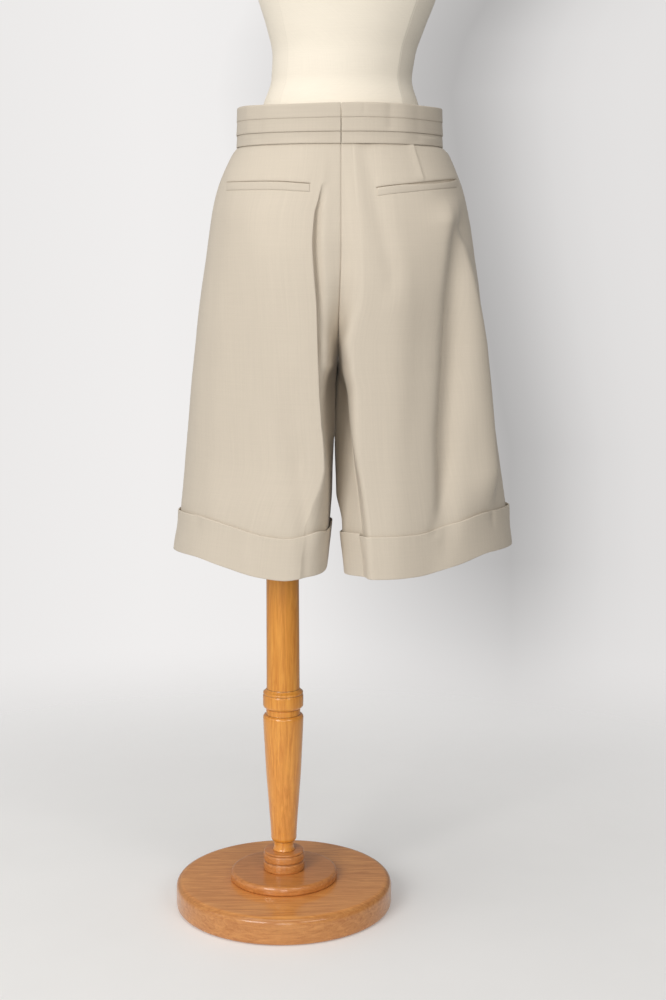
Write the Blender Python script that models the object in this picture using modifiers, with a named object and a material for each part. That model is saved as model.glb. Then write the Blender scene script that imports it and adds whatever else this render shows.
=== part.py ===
# Pleated shorts on a limbless dress form with an off-centre turned stand.
# Metres, +Z up.  The photographed back faces -Y, the wearer's front is +Y,
# the wearer's left is -X.  The origin is the centre of the stand's underside.
import math

import bmesh
import bpy

# ---------------------------------------------------------------- named sizes
CENTRE_X = 0.0864        # the garment's centre plane, from the pole's axis
WALL = 0.0020            # cloth of the legs
HALF = WALL / 2
SEAM = 0.00015           # half of the gap left at every seam
GAP = 0.0003             # gap between pieces that lie on each other
BAND_WALL = 0.0032       # waistband with its three tucks
TUCK = 0.0009            # how far the lower edge of a tuck stands out
BAND_TOP = 1.1930
TUCK_LINES = (1.1735, 1.1548)
BAND_BOTTOM = 1.1385
SIDE_Y = 0.010           # the side seams lie a little to the front
CROTCH_Z = 0.833
CROTCH_Y = -0.020
CUFF_HIGH = 0.060        # the turn-up
CUFF_WALL = 0.0020
CUFF_STAND = 0.0009      # how much further out the turn-up's top edge stands
LIP = 0.0020             # the turn-up's fold under the leg's edge
HEM = 0.540              # mean height of the hem line

# ------------------------------------------------------------- section tables
# half-widths of the body and the legs at the side seams, the rear and front
# ridges, and the powers of the rounded sections
HIP = ("z", "left_x", "right_x", "back_y", "front_y", "back_n", "front_n")
HIP_ROWS = (
    (1.1385, 0.1470, 0.1440, -0.1065, 0.1065, 2.00, 2.05),
    (1.1300, 0.1543, 0.1537, -0.1085, 0.1080, 2.00, 2.05),
    (1.1150, 0.1622, 0.1612, -0.1120, 0.1100, 2.05, 2.10),
    (1.1000, 0.1693, 0.1675, -0.1155, 0.1120, 2.10, 2.10),
    (1.0800, 0.1770, 0.1752, -0.1205, 0.1145, 2.10, 2.10),
    (1.0500, 0.1844, 0.1830, -0.1280, 0.1165, 2.10, 2.10),
    (1.0200, 0.1893, 0.1888, -0.1345, 0.1180, 2.05, 2.05),
    (0.9800, 0.1951, 0.1944, -0.1405, 0.1200, 2.00, 2.00),
    (0.9400, 0.2015, 0.2006, -0.1425, 0.1220, 1.95, 2.00),
    (0.9000, 0.2072, 0.2054, -0.1425, 0.1240, 1.90, 1.95),
    (0.8500, 0.2128, 0.2118, -0.1420, 0.1260, 1.85, 1.95),
    (0.8000, 0.2187, 0.2180, -0.1420, 0.1280, 1.80, 1.90),
    (0.7500, 0.2233, 0.2253, -0.1425, 0.1295, 1.78, 1.90),
    (0.7000, 0.2282, 0.2327, -0.1435, 0.1310, 1.75, 1.85),
    (0.6500, 0.2330, 0.2405, -0.1450, 0.1325, 1.72, 1.85),
    (0.6150, 0.2368, 0.2458, -0.1460, 0.1335, 1.70, 1.80),
    (0.5950, 0.2388, 0.2484, -0.1470, 0.1340, 1.68, 1.80),
    (0.5650, 0.2450, 0.2532, -0.1490, 0.1350, 1.65, 1.80),
    (0.5300, 0.2500, 0.2562, -0.1500, 0.1360, 1.65, 1.80),
)
# where the rear and front faces turn towards the seam between the legs
TURN = ("z", "left_back", "right_back", "left_front", "right_front")
TURN_ROWS = (
    (1.1385, 0.0200, 0.0190, 0.0320, 0.0320),
    (1.0950, 0.0240, 0.0219, 0.0320, 0.0320),
    (1.0800, 0.0268, 0.0230, 0.0320, 0.0320),
    (1.0600, 0.0310, 0.0249, 0.0321, 0.0321),
    (1.0450, 0.0350, 0.0265, 0.0322, 0.0322),
    (1.0200, 0.0370, 0.0290, 0.0325, 0.0325),
    (1.0050, 0.0376, 0.0304, 0.0327, 0.0327),
    (0.9800, 0.0362, 0.0320, 0.0330, 0.0330),
    (0.9500, 0.0338, 0.0325, 0.0334, 0.0330),
    (0.9200, 0.0312, 0.0302, 0.0334, 0.0323),
    (0.8900, 0.0303, 0.0238, 0.0326, 0.0302),
    (0.8600, 0.0294, 0.0195, 0.0301, 0.0268),
    (0.8300, 0.0280, 0.0201, 0.0271, 0.0226),
    (0.8000, 0.0264, 0.0253, 0.0247, 0.0183),
    (0.7750, 0.0248, 0.0263, 0.0234, 0.0149),
    (0.7450, 0.0230, 0.0274, 0.0227, 0.0112),
    (0.7200, 0.0198, 0.0287, 0.0225, 0.0087),
    (0.6950, 0.0156, 0.0312, 0.0227, 0.0077),
    (0.6700, 0.0128, 0.0346, 0.0232, 0.0071),
    (0.6400, 0.0122, 0.0389, 0.0241, 0.0071),
    (0.6000, 0.0124, 0.0440, 0.0260, 0.0080),
    (0.5300, 0.0178, 0.0480, 0.0320, 0.0130),
)
# the rear and front rise: the curved seam down the middle of the body;
# the angle is that of a row where it meets the seam (0 across, 90 forward)
RISE = ("z", "back_y", "back_turn", "front_y", "front_turn")
RISE_ROWS = (
    (1.1385, -0.1065, 0.0, 0.1065, 0.0),
    (1.1000, -0.1140, 0.0, 0.1118, 0.0),
    (1.0500, -0.1238, 4.0, 0.1150, 2.0),
    (1.0000, -0.1302, 12.0, 0.1145, 12.0),
    (0.9600, -0.1300, 26.0, 0.1090, 30.0),
    (0.9300, -0.1245, 44.0, 0.1010, 48.0),
    (0.9000, -0.1120, 62.0, 0.0880, 64.0),
    (0.8800, -0.0985, 74.0, 0.0750, 74.0),
    (0.8600, -0.0770, 80.0, 0.0540, 82.0),
    (0.8450, -0.0530, 82.0, 0.0290, 87.0),
    (0.8370, -0.0345, 83.0, 0.0040, 90.0),
    (0.8330, -0.0200, 84.0, -0.0200, 90.0),
)
# the inner seams of the legs
INSEAM = ("z", "left_x", "left_y", "left_turn", "right_x", "right_y", "right_turn")
INSEAM_ROWS = (
    (0.8330, 0.0000, -0.0200, 84.0, 0.0000, -0.0200, 84.0),
    (0.8200, 0.0026, -0.0210, 84.0, 0.0045, -0.0380, 85.0),
    (0.8000, 0.0050, -0.0220, 86.0, 0.0112, -0.0560, 82.0),
    (0.7800, 0.0051, -0.0235, 87.0, 0.0138, -0.0660, 79.0),
    (0.7600, 0.0052, -0.0250, 88.0, 0.0152, -0.0760, 76.0),
    (0.7350, 0.0054, -0.0290, 90.0, 0.0173, -0.0880, 73.0),
    (0.7160, 0.0088, -0.0330, 90.0, 0.0188, -0.0960, 70.0),
    (0.6850, 0.0097, -0.0360, 90.0, 0.0219, -0.1070, 67.0),
    (0.6500, 0.0106, -0.0400, 90.0, 0.0260, -0.1160, 64.0),
    (0.6000, 0.0130, -0.0440, 90.0, 0.0306, -0.1250, 62.0),
    (0.5300, 0.0195, -0.0480, 90.0, 0.0345, -0.1270, 62.0),
)
# the nearest that a leg's inner side comes to the centre plane
NEAR = ("z", "left", "right")
NEAR_ROWS = (
    (1.2000, 0.0012, 0.0012),
    (0.8330, 0.0013, 0.0013),
    (0.8290, 0.0021, 0.0014),
    (0.8150, 0.0041, -0.0006),
    (0.8000, 0.0053, -0.0020),
    (0.7330, 0.0054, -0.0021),
    (0.7160, 0.0089, -0.0026),
    (0.6865, 0.0097, -0.0025),
    (0.6566, 0.0105, -0.0018),
    (0.6267, 0.0114, -0.0010),
    (0.5966, 0.0117, -0.0003),
    (0.5750, 0.0130, 0.0011),
    (0.5600, 0.0155, 0.0030),
    (0.5300, 0.0195, 0.0066),
)
# softness of the turn at the ridges, and how far the seam's direction reaches
SOFT = {("left", "back"): (1, 0.72), ("right", "back"): (2, 0.45),
        ("left", "front"): (3, 0.40), ("right", "front"): (4, 0.40)}
# z, then how far each panel's ridge keeps its direction
SOFT_ROWS = (
    (1.2000, 0.0030, 0.0110, 0.0140, 0.0150),
    (0.9800, 0.0030, 0.0110, 0.0140, 0.0150),
    (0.9300, 0.0100, 0.0110, 0.0140, 0.0150),
    (0.9000, 0.0200, 0.0110, 0.0140, 0.0150),
    (0.8830, 0.0265, 0.0110, 0.0140, 0.0150),
    (0.8690, 0.0250, 0.0110, 0.0140, 0.0150),
    (0.8550, 0.0232, 0.0110, 0.0140, 0.0150),
    (0.8410, 0.0207, 0.0110, 0.0140, 0.0150),
    (0.8270, 0.0180, 0.0110, 0.0140, 0.0150),
    (0.8130, 0.0140, 0.0110, 0.0140, 0.0150),
    (0.7990, 0.0100, 0.0110, 0.0140, 0.0150),
    (0.7850, 0.0070, 0.0110, 0.0140, 0.0150),
    (0.7700, 0.0035, 0.0110, 0.0140, 0.0150),
    (0.5300, 0.0030, 0.0110, 0.0140, 0.0150),
)

# the hem's height along a panel: 0 side seam, 1 ridge, 2 inner seam
HEM_ROWS = {
    ("left", "back"): ((0.0, 0.5525), (0.3, 0.5545), (0.55, 0.5460), (0.78, 0.5370),
                       (0.92, 0.5345), (1.0, 0.5370), (1.2, 0.5395), (2.0, 0.5425)),
    ("right", "back"): ((0.0, 0.5600), (0.3, 0.5605), (0.55, 0.5490), (0.78, 0.5385),
                        (1.0, 0.5370), (1.4, 0.5368), (2.0, 0.5365)),
    ("left", "front"): ((0.0, 0.5525), (0.4, 0.5530), (0.8, 0.5460), (1.0, 0.5435),
                        (1.5, 0.5430), (2.0, 0.5425)),
    ("right", "front"): ((0.0, 0.5600), (0.4, 0.5570), (0.8, 0.5470), (1.0, 0.5430),
                         (1.5, 0.5350), (1.8, 0.5345), (2.0, 0.5365)),
}

# the largest folds: a line from a higher to a lower point on the panel
FOLDS = ("side", "face", "z1", "x1", "z2", "x2", "out", "wide", "fade")
FOLD_ROWS = (
    ("right", "back", 1.0400, 0.1640, 0.6050, 0.1300, -0.0080, 0.0260, 0.070),
    ("right", "back", 0.9400, 0.0840, 0.5600, 0.0760, 0.0030, 0.0240, 0.090),
    ("right", "back", 1.1250, 0.0330, 0.9600, 0.0690, -0.0026, 0.0130, 0.045),
    ("left", "back", 0.7600, 0.0700, 0.5500, 0.0470, -0.0032, 0.0150, 0.080),
    ("left", "back", 0.9800, 0.1450, 0.5700, 0.1650, -0.0030, 0.0300, 0.110),
    ("right", "front", 0.9300, 0.1380, 0.5700, 0.1500, -0.0070, 0.0260, 0.090),
    ("right", "front", 0.8800, 0.0700, 0.5500, 0.0800, 0.0040, 0.0220, 0.090),
    ("left", "front", 0.9500, 0.1480, 0.5600, 0.1420, -0.0060, 0.0280, 0.090),
    ("left", "front", 0.8700, 0.0760, 0.5500, 0.0680, 0.0045, 0.0230, 0.090),
)
# the knife pleats of the fronts: the pressed edge faces the side seam
PLEATS = ("x_top", "x_low", "high", "z_full", "z_gone")
PLEAT_ROWS = (
    (0.0600, 0.0760, 0.0032, 1.0600, 0.8600),
    (0.0890, 0.1180, 0.0030, 1.0700, 0.9100),
)
PLEAT_TOP = 0.0011       # height of a pleat where the waistband holds it
PLEAT_STEP = 0.0022      # width of the pressed step
PLEAT_RAMP = 0.0160      # width of the pleat's flat side

ROWS = (1.1382, 1.1290, 1.1130, 1.0945, 1.0640, 1.0280, 0.9900, 0.9550, 0.9250,
        0.9000, 0.8790, 0.8600, 0.8450, 0.8370, 0.8330, 0.8200, 0.7950, 0.7550,
        0.7050, 0.6500)
BACK_COLS = 12
FORK_COLS = 4

# ------------------------------------------------------------ form and stand
FORM = ("z", "half_x", "back_y", "front_y", "n", "shift")
FORM_ROWS = (
    (0.9000, 0.1500, -0.0960, 0.0740, 2.2, 0.0),
    (0.9060, 0.1575, -0.1020, 0.0800, 2.2, 0.0),
    (0.9250, 0.1650, -0.1130, 0.0880, 2.2, 0.0),
    (0.9550, 0.1705, -0.1215, 0.0965, 2.2, 0.0),
    (1.0000, 0.1722, -0.1270, 0.1050, 2.2, 0.0),
    (1.0500, 0.1670, -0.1205, 0.1080, 2.15, 0.0),
    (1.0900, 0.1560, -0.1140, 0.1080, 2.1, 0.0),
    (1.1200, 0.1445, -0.1078, 0.1062, 2.05, 0.0),
    (1.1420, 0.1330, -0.1051, 0.1051, 2.0, 0.0),
    (1.1650, 0.1210, -0.0985, 0.0985, 2.0, 0.0),
    (1.2000, 0.1108, -0.0880, 0.0875, 2.0, 0.0002),
    (1.2350, 0.1005, -0.0805, 0.0795, 2.0, 0.0012),
    (1.2650, 0.1018, -0.0805, 0.0805, 2.0, 0.0042),
    (1.3050, 0.1125, -0.0845, 0.0880, 2.05, 0.0070),
    (1.3440, 0.1262, -0.0900, 0.0990, 2.1, 0.0087),
    (1.3900, 0.1390, -0.0955, 0.1150, 2.1, 0.0090),
    (1.4300, 0.1450, -0.0985, 0.1150, 2.1, 0.0090),
    (1.4800, 0.1500, -0.0970, 0.0980, 2.2, 0.0090),
    (1.5250, 0.1600, -0.0915, 0.0790, 2.3, 0.0090),
    (1.5550, 0.1600, -0.0830, 0.0660, 2.3, 0.0090),
    (1.5780, 0.1420, -0.0740, 0.0560, 2.2, 0.0090),
    (1.5970, 0.1060, -0.0640, 0.0490, 2.1, 0.0090),
    (1.6130, 0.0730, -0.0550, 0.0460, 2.0, 0.0090),
    (1.6300, 0.0575, -0.0500, 0.0450, 2.0, 0.0090),
    (1.6600, 0.0530, -0.0480, 0.0450, 2.0, 0.0090),
    (1.6850, 0.0520, -0.0470, 0.0450, 2.0, 0.0090),
)
FORM_AROUND = 28
PLATE_BOTTOM = 0.8880
PLATE_SCALE = 0.90
WOOD_GAP = 0.0002
SHARP = math.radians(38)  # edges sharper than this are not shaded round

# turned pieces: (radius, height) from the axis and back to it
DISC = ((0.0, 0.0), (0.1610, 0.0), (0.1640, 0.0020), (0.1650, 0.0060),
        (0.1650, 0.0310), (0.1640, 0.0350), (0.1612, 0.0384), (0.1570, 0.0401),
        (0.1540, 0.0405), (0.0, 0.0405))
STEP = ((0.0, 0.0407), (0.0800, 0.0407), (0.0815, 0.0425), (0.0815, 0.0490),
        (0.0800, 0.0530), (0.0770, 0.0545), (0.0, 0.0545))
SOCKET = ((0.0, 0.0547), (0.0305, 0.0547), (0.0314, 0.0565), (0.0314, 0.0665),
          (0.0296, 0.0680), (0.0296, 0.0695), (0.0312, 0.0710), (0.0312, 0.0790),
          (0.0290, 0.0812), (0.0302, 0.0822), (0.0302, 0.0842), (0.0290, 0.0850),
          (0.0, 0.0850))
LOWER = ((0.0, 0.0852), (0.0172, 0.0852), (0.0158, 0.0885), (0.0150, 0.0925),
         (0.0150, 0.0998), (0.0182, 0.1012), (0.0195, 0.1045), (0.0196, 0.1110),
         (0.0208, 0.1310), (0.0237, 0.1690), (0.0265, 0.2070), (0.0284, 0.2450),
         (0.0299, 0.2765), (0.0305, 0.2925), (0.0304, 0.2960), (0.0292, 0.2985),
         (0.0257, 0.2995), (0.0257, 0.3082), (0.0, 0.3082))
UPPER = ((0.0, 0.3084), (0.0257, 0.3084), (0.0262, 0.3095), (0.0292, 0.3108),
         (0.0305, 0.3135), (0.0305, 0.3290), (0.0290, 0.3312), (0.0302, 0.3325),
         (0.0300, 0.3345), (0.0270, 0.3368), (0.0250, 0.3395), (0.0249, 0.3600),
         (0.0244, 0.5000), (0.0240, PLATE_BOTTOM - WOOD_GAP),
         (0.0, PLATE_BOTTOM - WOOD_GAP))
CAP = ((0.0, 0.0), (0.0500, 0.0), (0.0520, 0.0020), (0.0520, 0.0090),
       (0.0495, 0.0125), (0.0430, 0.0145), (0.0, 0.0150))
BUTTON = ((0.0, 0.0), (0.0088, 0.0), (0.0095, 0.0009), (0.0095, 0.0022),
          (0.0086, 0.0032), (0.0072, 0.0030), (0.0062, 0.0022), (0.0, 0.0020))

WELT_WALL = 0.0018
WELT_HIGH = 0.0110
# centre line of a welt from its inner to its outer end: half-width and height
WELTS = {"left": ((0.0430, 1.0778), (0.0980, 1.0812), (0.1610, 1.0818)),
         "right": ((0.0500, 1.0730), (0.1110, 1.0802), (0.1636, 1.0863))}
FLY_WALL = 0.0014
FLY_LONG = 0.1650


# ------------------------------------------------------------------ helpers
def table(rows):
    """Smooth, never overshooting curves through the columns of a table."""
    rows = sorted(rows)
    zs = [r[0] for r in rows]
    slopes = []
    for k in range(1, len(rows[0])):
        v = [r[k] for r in rows]
        d = [(v[i + 1] - v[i]) / (zs[i + 1] - zs[i]) for i in range(len(v) - 1)]
        m = [d[0]]
        for i in range(1, len(v) - 1):
            if d[i - 1] * d[i] <= 0:
                m.append(0.0)
            else:
                a = 2 * (zs[i + 1] - zs[i]) + (zs[i] - zs[i - 1])
                b = (zs[i + 1] - zs[i]) + 2 * (zs[i] - zs[i - 1])
                m.append((a + b) / (a / d[i - 1] + b / d[i]))
        m.append(d[-1])
        slopes.append(m)

    def value(k, z):
        z = min(max(z, zs[0]), zs[-1])
        i = 0
        while i < len(zs) - 2 and z > zs[i + 1]:
            i += 1
        h = zs[i + 1] - zs[i]
        t = (z - zs[i]) / h
        v = [r[k] for r in rows]
        m = slopes[k - 1]
        a = (1 + 2 * t) * (1 - t) ** 2 * v[i] + t * (1 - t) ** 2 * h * m[i]
        b = t * t * (3 - 2 * t) * v[i + 1] + t * t * (t - 1) * h * m[i + 1]
        return a + b
    return value


HIP_AT = table(HIP_ROWS)
TURN_AT = table(TURN_ROWS)
RISE_AT = table(RISE_ROWS)
INSEAM_AT = table(INSEAM_ROWS)
NEAR_AT = table(NEAR_ROWS)
SOFT_AT = table(SOFT_ROWS)
FORM_AT = table(FORM_ROWS)
HEM_AT = {key: table(rows) for key, rows in HEM_ROWS.items()}


def ramp(a, b, t):
    """0 at a, 1 at b, smooth between."""
    t = min(max((t - a) / (b - a), 0.0), 1.0)
    return t * t * (3 - 2 * t)


def sub(a, b):
    return (a[0] - b[0], a[1] - b[1], a[2] - b[2])


def along(a, n, d):
    return (a[0] + n[0] * d, a[1] + n[1] * d, a[2] + n[2] * d)


def unit(a):
    d = math.sqrt(a[0] ** 2 + a[1] ** 2 + a[2] ** 2)
    return (a[0] / d, a[1] / d, a[2] / d)


def cross(a, b):
    return (a[1] * b[2] - a[2] * b[1], a[2] * b[0] - a[0] * b[2],
            a[0] * b[1] - a[1] * b[0])


def mix(a, b, t):
    return tuple(p + (q - p) * t for p, q in zip(a, b))


# --------------------------------------------------------------- leg surface
def seam_at(side, face, z):
    """The inner end of a row: on the rise, or on the inner seam."""
    back = face == "back"
    if z >= CROTCH_Z:
        k = 1 if back else 3
        return 0.0, RISE_AT(k, z), RISE_AT(k + 1, z)
    k = 1 if side == "left" else 4
    turn = INSEAM_AT(k + 2, z)
    return INSEAM_AT(k, z), INSEAM_AT(k + 1, z), turn if back else 180.0 - turn


MEASURED = {}


def row_shape(side, face, z):
    """Corners, power and the even spacing of the outer part of a row."""
    key = (side, face, round(z, 6))
    if key not in MEASURED:
        wide = HIP_AT(1 if side == "left" else 2, z)
        deep = HIP_AT(3 if face == "back" else 4, z)
        power = HIP_AT(5 if face == "back" else 6, z)
        k = (1 if side == "left" else 2) + (0 if face == "back" else 2)
        ridge = TURN_AT(k, z)
        a = wide - ridge
        b = deep - SIDE_Y
        length = [0.0]
        last = (a, 0.0)
        for i in range(1, 121):
            q = i / 120 * math.pi / 2
            p = (a * math.cos(q) ** (2 / power) if i < 120 else 0.0,
                 b * math.sin(q) ** (2 / power))
            length.append(length[-1] + math.hypot(p[0] - last[0], p[1] - last[1]))
            last = p
        MEASURED[key] = (ridge, a, b, power, length)
    return MEASURED[key]


def base_point(side, face, u, z):
    """A point of a row: u 0 side seam, 1 ridge, 2 inner end (half-width, y)."""
    ridge, a, b, power, length = row_shape(side, face, z)
    if u <= 1:
        want = max(u, 0.0) * length[-1]
        lo, hi = 0, 120
        while hi - lo > 1:
            mid = (lo + hi) // 2
            if length[mid] <= want:
                lo = mid
            else:
                hi = mid
        q = (lo + (want - length[lo]) / (length[hi] - length[lo])) / 120 * math.pi / 2
        c = max(math.cos(q), 0.0)
        return ridge + a * c ** (2 / power), SIDE_Y + b * math.sin(q) ** (2 / power)
    sx, sy, turn = seam_at(side, face, z)
    k, reach = SOFT[(side, face)]
    soft = SOFT_AT(k, z)
    way = 1.0 if face == "back" else -1.0
    p0 = (ridge, SIDE_Y + b)
    chord = math.hypot(sx - p0[0], sy - p0[1])
    if z < CROTCH_Z:
        reach = reach + (0.35 - reach) * ramp(CROTCH_Z, CROTCH_Z - 0.05, z)
    h0 = min(soft, 0.4 * chord)
    p1 = (ridge - h0, p0[1])
    c = math.cos(math.radians(turn))
    s = math.sin(math.radians(turn))
    p2 = (sx + c * reach * chord, sy - way * s * reach * chord)
    t = u - 1
    w = ((1 - t) ** 3, 3 * t * (1 - t) ** 2, 3 * t * t * (1 - t), t ** 3)
    x = w[0] * p0[0] + w[1] * p1[0] + w[2] * p2[0] + w[3] * sx
    y = w[0] * p0[1] + w[1] * p1[1] + w[2] * p2[1] + w[3] * sy
    near = NEAR_AT(1 if side == "left" else 2, z)
    if u < 2:
        x = max(x, near)
    return x, y


def pleat_place(side, z, k):
    """Where a pleat's edge lies on its row (0 to 1) and the row's length."""
    x_top, x_low, high, z_full, z_gone = PLEAT_ROWS[k]
    x = x_top + (x_low - x_top) * ramp(BAND_BOTTOM, z_gone, z)
    lo, hi = 0.0, 1.0
    for _ in range(30):
        mid = (lo + hi) / 2
        if base_point(side, "front", mid, z)[0] > x:
            lo = mid
        else:
            hi = mid
    return lo, row_shape(side, "front", z)[4][-1]


def pleat_out(side, u, z):
    """Height of the front's pleats at a place of a row."""
    out = 0.0
    for k, (x_top, x_low, high, z_full, z_gone) in enumerate(PLEAT_ROWS):
        if z <= z_gone:
            continue
        place, length = pleat_place(side, z, k)
        far = (u - place) * length
        rise = PLEAT_TOP + (high - PLEAT_TOP) * ramp(BAND_BOTTOM, z_full, z)
        rise *= ramp(z_gone, z_full, z)
        step = PLEAT_STEP + 0.010 * (1 - ramp(z_gone, z_full, z))
        if far < 0:
            out += rise * ramp(-step, 0.0, far)
        else:
            out += rise * (1 - ramp(0.0, PLEAT_RAMP, far))
    return out


def fold_out(side, face, x, z):
    out = 0.0
    for s, f, z1, x1, z2, x2, high, wide, fade in FOLD_ROWS:
        if s != side or f != face or z > z1 + fade:
            continue
        t = min(max((z1 - z) / (z1 - z2), 0.0), 1.0)
        centre = x1 + (x2 - x1) * t
        grow = ramp(z1 + fade, z1 - fade * 0.3, z)
        if z2 > 0.7:
            grow *= ramp(z2 - fade, z2, z)
        out += high * grow * math.exp(-((x - centre) / wide) ** 2)
    return out


def leg_point(side, face, u, z):
    """A point of the cloth's middle surface, (x, y, z) from the centre plane."""
    x, y = base_point(side, face, u, z)
    out = fold_out(side, face, x, z)
    if face == "front" and u <= 1:
        out += pleat_out(side, u, z)
    if out:
        a = base_point(side, face, max(u - 0.02, 0.0), z)
        b = base_point(side, face, min(u + 0.02, 2.0), z)
        tx, ty = b[0] - a[0], b[1] - a[1]
        d = math.hypot(tx, ty)
        way = 1.0 if face == "back" else -1.0
        x -= out * way * ty / d
        y += out * way * tx / d
    sign = -1.0 if side == "left" else 1.0
    return (sign * x, y, z)


def columns(side, face, z):
    """The places of a row's columns."""
    fork = [1 + (j + 1) / FORK_COLS for j in range(FORK_COLS)]
    if face == "back":
        return [j / BACK_COLS for j in range(BACK_COLS + 1)] + fork
    marks = [0.0]
    for k in (1, 0):
        place, length = pleat_place(side, z, k)
        z_full, z_gone = PLEAT_ROWS[k][3:]
        step = (PLEAT_STEP + 0.010 * (1 - ramp(z_gone, z_full, z))) / length
        marks += [place - step, place, place + 0.45 * PLEAT_RAMP / length]
    marks.append(1.0)
    return (
        [marks[1] * j / 5 for j in range(5)]
        + [marks[1], marks[2], marks[3], (marks[3] + marks[4]) / 2]
        + [marks[4], marks[5], marks[6], (marks[6] + marks[7]) / 2, 1.0] + fork)


def leg_rows():
    """Row heights: level above, following the hem's wave at the turn-up."""
    rows = [(z, 0.0) for z in ROWS]
    rows[-1] = (ROWS[-1], 0.55)
    rows.append((HEM + CUFF_HIGH, 1.0))
    rows.append((HEM + CUFF_HIGH * 0.5, 1.0))
    rows.append((HEM + LIP + GAP, 1.0))
    return rows


def leg_grid(side, face):
    grid = []
    wave = HEM_AT[(side, face)]
    for z, share in leg_rows():
        row = []
        for u in columns(side, face, z):
            height = z + share * (wave(1, u) - HEM)
            row.append(leg_point(side, face, u, height))
        grid.append(row)
    return grid


def normals(grid, beyond_start, beyond_end):
    """Outward directions; the rows of the neighbours close the seams."""
    out = []
    count = len(grid)
    for i, row in enumerate(grid):
        line = []
        for j in range(len(row)):
            before = row[j - 1] if j else (beyond_start[i] if beyond_start[i] else row[0])
            after = row[j + 1] if j < len(row) - 1 else (beyond_end[i] or row[j])
            du = sub(after, before)
            dv = sub(grid[min(i + 1, count - 1)][j], grid[max(i - 1, 0)][j])
            line.append(cross(du, dv))
        out.append(line)
    return out


def leg_side(side):
    """Both panels of one side, with shared directions at their seams."""
    sign = -1.0 if side == "left" else 1.0
    back = leg_grid(side, "back")
    front = leg_grid(side, "front")
    rows = leg_rows()
    low = [z < CROTCH_Z - 1e-6 for z, _ in rows]
    pair = {}
    for face, grid, other in (("back", back, front), ("front", front, back)):
        start = [other[i][1] for i in range(len(grid))]
        end = [other[i][-2] if low[i] else None for i in range(len(grid))]
        raw = normals(grid, start, end)
        turn = sign if face == "back" else -sign
        lines = []
        for i, line in enumerate(raw):
            made = []
            for j, n in enumerate(line):
                n = (n[0] * turn, n[1] * turn, n[2] * turn)
                if i == 0 or i >= len(grid) - 3:
                    n = (n[0], n[1], 0.0)
                if j == len(line) - 1 and rows[i][0] > 0.95:
                    n = (0.0, n[1], n[2])
                made.append(unit(n))
            lines.append(made)
        pair[face] = (grid, lines)
    for i in range(len(rows)):
        shared = unit(along(pair["back"][1][i][0], pair["front"][1][i][0], 1.0))
        pair["back"][1][i][0] = shared
        pair["front"][1][i][0] = shared
        if low[i]:
            shared = unit(along(pair["back"][1][i][-1], pair["front"][1][i][-1], 1.0))
            pair["back"][1][i][-1] = shared
            pair["front"][1][i][-1] = shared
    return pair


def pull(row, i, j):
    """The end of a row drawn back from its seam."""
    p = row[j]
    q = row[1] if j == 0 else row[-2]
    return along(p, unit(sub(q, p)), SEAM)


def clear_centre(p, side, z, low):
    if low:
        return p
    if side == "left":
        return (min(p[0], -SEAM), p[1], p[2])
    return (max(p[0], SEAM), p[1], p[2])


# ------------------------------------------------------------ mesh building
def clean_scene():
    for obj in list(bpy.data.objects):
        bpy.data.objects.remove(obj, do_unlink=True)


SET = None


def add_object(name, verts, faces, material):
    mesh = bpy.data.meshes.new(name)
    mesh.from_pydata([(x + CENTRE_X, y, z) for x, y, z in verts], [], faces)
    work = bmesh.new()
    work.from_mesh(mesh)
    bmesh.ops.recalc_face_normals(work, faces=work.faces)
    work.to_mesh(mesh)
    work.free()
    mesh.shade_smooth()
    mesh.set_sharp_from_angle(angle=SHARP)
    obj = bpy.data.objects.new(name, mesh)
    SET.objects.link(obj)
    obj.data.materials.append(material)
    return obj


def add_material(name, colour, rough, sheen=0.0, coat=0.0):
    mat = bpy.data.materials.new(name)
    mat.use_nodes = True
    node = mat.node_tree.nodes["Principled BSDF"]
    node.inputs["Base Color"].default_value = (*colour, 1.0)
    node.inputs["Roughness"].default_value = rough
    node.inputs["Sheen Weight"].default_value = sheen
    node.inputs["Coat Weight"].default_value = coat
    return mat


def wall_object(name, outer, inner, material, other_way=False):
    """A closed wall between two grids of the same size, split in triangles."""
    rows, cols = len(outer), len(outer[0])
    verts = [p for row in outer for p in row] + [p for row in inner for p in row]
    top = rows * cols
    faces = []
    for i in range(rows - 1):
        for j in range(cols - 1):
            a = i * cols + j
            b, c, d = a + 1, a + cols + 1, a + cols
            pair = ((a, b, d), (b, c, d)) if other_way else ((a, b, c), (a, c, d))
            for tri in pair:
                faces.append(tri)
                faces.append(tuple(top + k for k in reversed(tri)))
    edge = [(0, j) for j in range(cols)] + [(i, cols - 1) for i in range(1, rows)]
    edge += [(rows - 1, j) for j in range(cols - 2, -1, -1)]
    edge += [(i, 0) for i in range(rows - 2, 0, -1)]
    for k, (i, j) in enumerate(edge):
        i2, j2 = edge[(k + 1) % len(edge)]
        a, b = i * cols + j, i2 * cols + j2
        faces.append((b, a, top + a, top + b))
    return add_object(name, verts, faces, material)


def loop_object(name, loops, material, ring):
    """A solid swept through closed cross-sections, in a ring or capped."""
    count, size = len(loops), len(loops[0])
    verts = [p for loop in loops for p in loop]
    faces = []
    for i in range(count if ring else count - 1):
        for k in range(size):
            a = i * size + k
            b = i * size + (k + 1) % size
            c = ((i + 1) % count) * size + (k + 1) % size
            d = ((i + 1) % count) * size + k
            faces += [(a, b, c), (a, c, d)]
    if not ring:
        faces.append(tuple(range(size - 1, -1, -1)))
        faces.append(tuple(range((count - 1) * size, count * size)))
    return add_object(name, verts, faces, material)


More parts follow.
